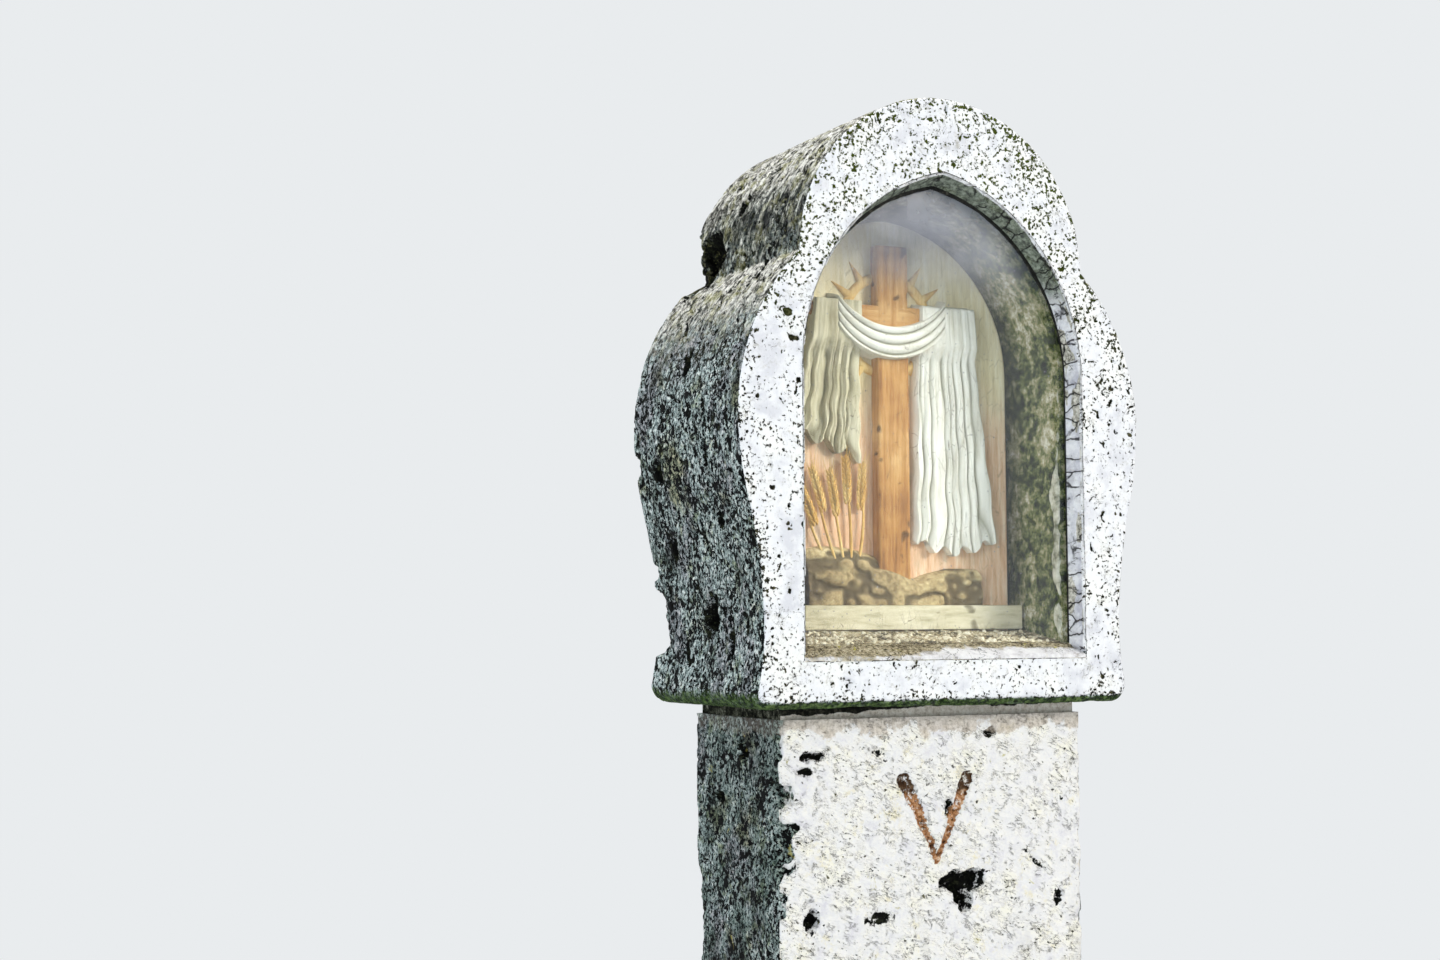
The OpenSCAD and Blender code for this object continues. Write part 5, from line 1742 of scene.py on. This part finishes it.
olive_stops = ((0.34, "A39A7C"), (0.46, "C8C0A4"), (0.60, "DDD7C0"))
for part, name, stops, shade, streaks, bare in (
        (right_end, "cloth_paint", cloth_stops, "8C8A72", ALONG_CLOTH, "C9B08A"),
        (left_end, "cloth_paint_olive", olive_stops, "7A7458", ALONG_CLOTH, "B79B6C"),
        (cloth_swag, "cloth_paint_across", cloth_stops, "8C8A72", (10, 1, 1), "C9B08A")):
    dress(part, "relief_cloth", painted_wood(name, stops, shade, streaks, "fold", bare))
ochre_stops = ((0.34, "A87C36"), (0.46, "DDB062"), (0.60, "F4D796"))
for part, node in ((hoop, "relief_rays"), (rays, "relief_rays"), (stalks, "relief_wheat"),
                   (wheat_grains, "relief_wheat"), (bristles, "relief_wheat")):
    dress(part, node, painted_wood(part.name + "_paint", ochre_stops, "6B4A1E"))

# %% [markdown]
# ## Camera and light
# The camera stands where the photograph was taken from: low, a little to the left of the front, with a 50
# mm lens. Its place was worked out from the stone's straight edges, in metres from the shrine's middle. The
# light is a studio's: one large soft lamp from the front right, as the sun stood, a weaker one from the
# left, one from above, and a pale surround, so that the white front is bright but keeps its drawing. The
# pane mirrors none of the lamps.

# %% Camera
CAMERA_PLACE = (-1.2394, -2.0968, 1.5976)
CAMERA_YAW, CAMERA_PITCH, CAMERA_ROLL = (math.radians(angle) for angle in (25.874, 4.066, -0.266))
LENS, SENSOR = 50, 36
along_floor = Vector((math.sin(CAMERA_YAW), math.cos(CAMERA_YAW), 0)) * math.cos(CAMERA_PITCH)
ahead = along_floor + Vector((0, 0, math.sin(CAMERA_PITCH)))
level_right = Vector((math.cos(CAMERA_YAW), -math.sin(CAMERA_YAW), 0))
level_up = level_right.cross(ahead)
right = level_right * math.cos(CAMERA_ROLL) + level_up * math.sin(CAMERA_ROLL)
up = level_up * math.cos(CAMERA_ROLL) - level_right * math.sin(CAMERA_ROLL)
camera = bpy.data.objects.new("camera", bpy.data.cameras.new("camera"))
camera.data.lens, camera.data.sensor_width = LENS, SENSOR
camera.matrix_world = Matrix.Translation(CAMERA_PLACE) @ Matrix((right, up, -ahead)).transposed().to_4x4()
bpy.context.scene.collection.objects.link(camera)
bpy.context.scene.camera = camera


# %% Lamps, surround and floor
def soft_lamp(name, place, width, power, tint):
    """A square area lamp that faces the niche. Nothing glossy mirrors it."""
    lamp = bpy.data.lights.new(name, "AREA")
    lamp.size, lamp.energy, lamp.color = width, power, colour(tint)[:3]
    piece = bpy.data.objects.new(name, lamp)
    turn = (Vector(LAMP_TARGET) - Vector(place)).to_track_quat("-Z", "Y")
    piece.matrix_world = Matrix.Translation(place) @ turn.to_matrix().to_4x4()
    bpy.context.scene.collection.objects.link(piece)
    piece.visible_glossy = False


LAMP_TARGET = (0, 0, 1.6)
soft_lamp("key_lamp", (3.0, -4.2, 4.2), 1.8, 219, "FFFBF4")
soft_lamp("fill_lamp", (-4.5, -3.0, 2.4), 3.0, 138, "EAF3F8")
soft_lamp("sky_lamp", (-1.0, 0.4, 5.2), 2.0, 140, "F4F7FF")

SURROUND, BACKGROUND = "DDE4EC", "E9ECEE"
SURROUND_STRENGTH = 0.42
world = bpy.data.worlds.new("surround")
bpy.context.scene.world = world
world.use_nodes = True
tree = world.node_tree
plain = tree.nodes["Background"]
plain.inputs["Color"].default_value = colour(SURROUND)
plain.inputs["Strength"].default_value = SURROUND_STRENGTH
seen = tree.nodes.new("ShaderNodeBackground")
seen.inputs["Color"].default_value = colour(BACKGROUND)
path = tree.nodes.new("ShaderNodeLightPath")
share = path.outputs["Is Camera Ray"]
for ray in ("Is Glossy Ray", "Is Transmission Ray"):
    larger = tree.nodes.new("ShaderNodeMath")
    larger.operation = "MAXIMUM"
    tree.links.new(share, larger.inputs[0])
    tree.links.new(path.outputs[ray], larger.inputs[1])
    share = larger.outputs[0]
blend = tree.nodes.new("ShaderNodeMixShader")
for socket, output in zip(blend.inputs, (share, plain.outputs[0], seen.outputs[0])):
    tree.links.new(output, socket)
tree.links.new(blend.outputs[0], tree.nodes["World Output"].inputs["Surface"])

FLOOR_SIDE, FLOOR_NEAR, FLOOR_FAR = 60.0, 0.8, 5.0
half = FLOOR_SIDE / 2
floor_mesh = bpy.data.meshes.new("floor")
floor_corners = [(-half, -half, 0), (half, -half, 0), (half, half, 0), (-half, half, 0)]
floor_mesh.from_pydata(floor_corners, [], [(0, 1, 2, 3)])
floor = bpy.data.objects.new("floor", floor_mesh)
bpy.context.scene.collection.objects.link(floor)


def pale_floor():
    """A matt floor that, to the camera alone, turns into the background's colour: by a half near the
    shrine, so that its shadow still shows, and wholly further out."""
    finish = Finish("floor")
    finish.done(finish.noise(0.4, 2).ramp((0.0, "DFE1E2"), (1.0, "E6E7E8")), 0.9, 0.2)
    away = finish.add("VectorMath", {0: finish.place}, "Value", operation="LENGTH")
    seen = finish.add("LightPath", {}, "Is Camera Ray")
    share = seen * away.between(FLOOR_NEAR, FLOOR_FAR, 0.5, 1.0)
    glow = finish.add("Emission", {"Color": colour(BACKGROUND), "Strength": 1.0})
    return finish.blended(share, glow)


floor.data.materials.append(pale_floor())
bpy.context.scene.view_settings.view_transform = "Standard"
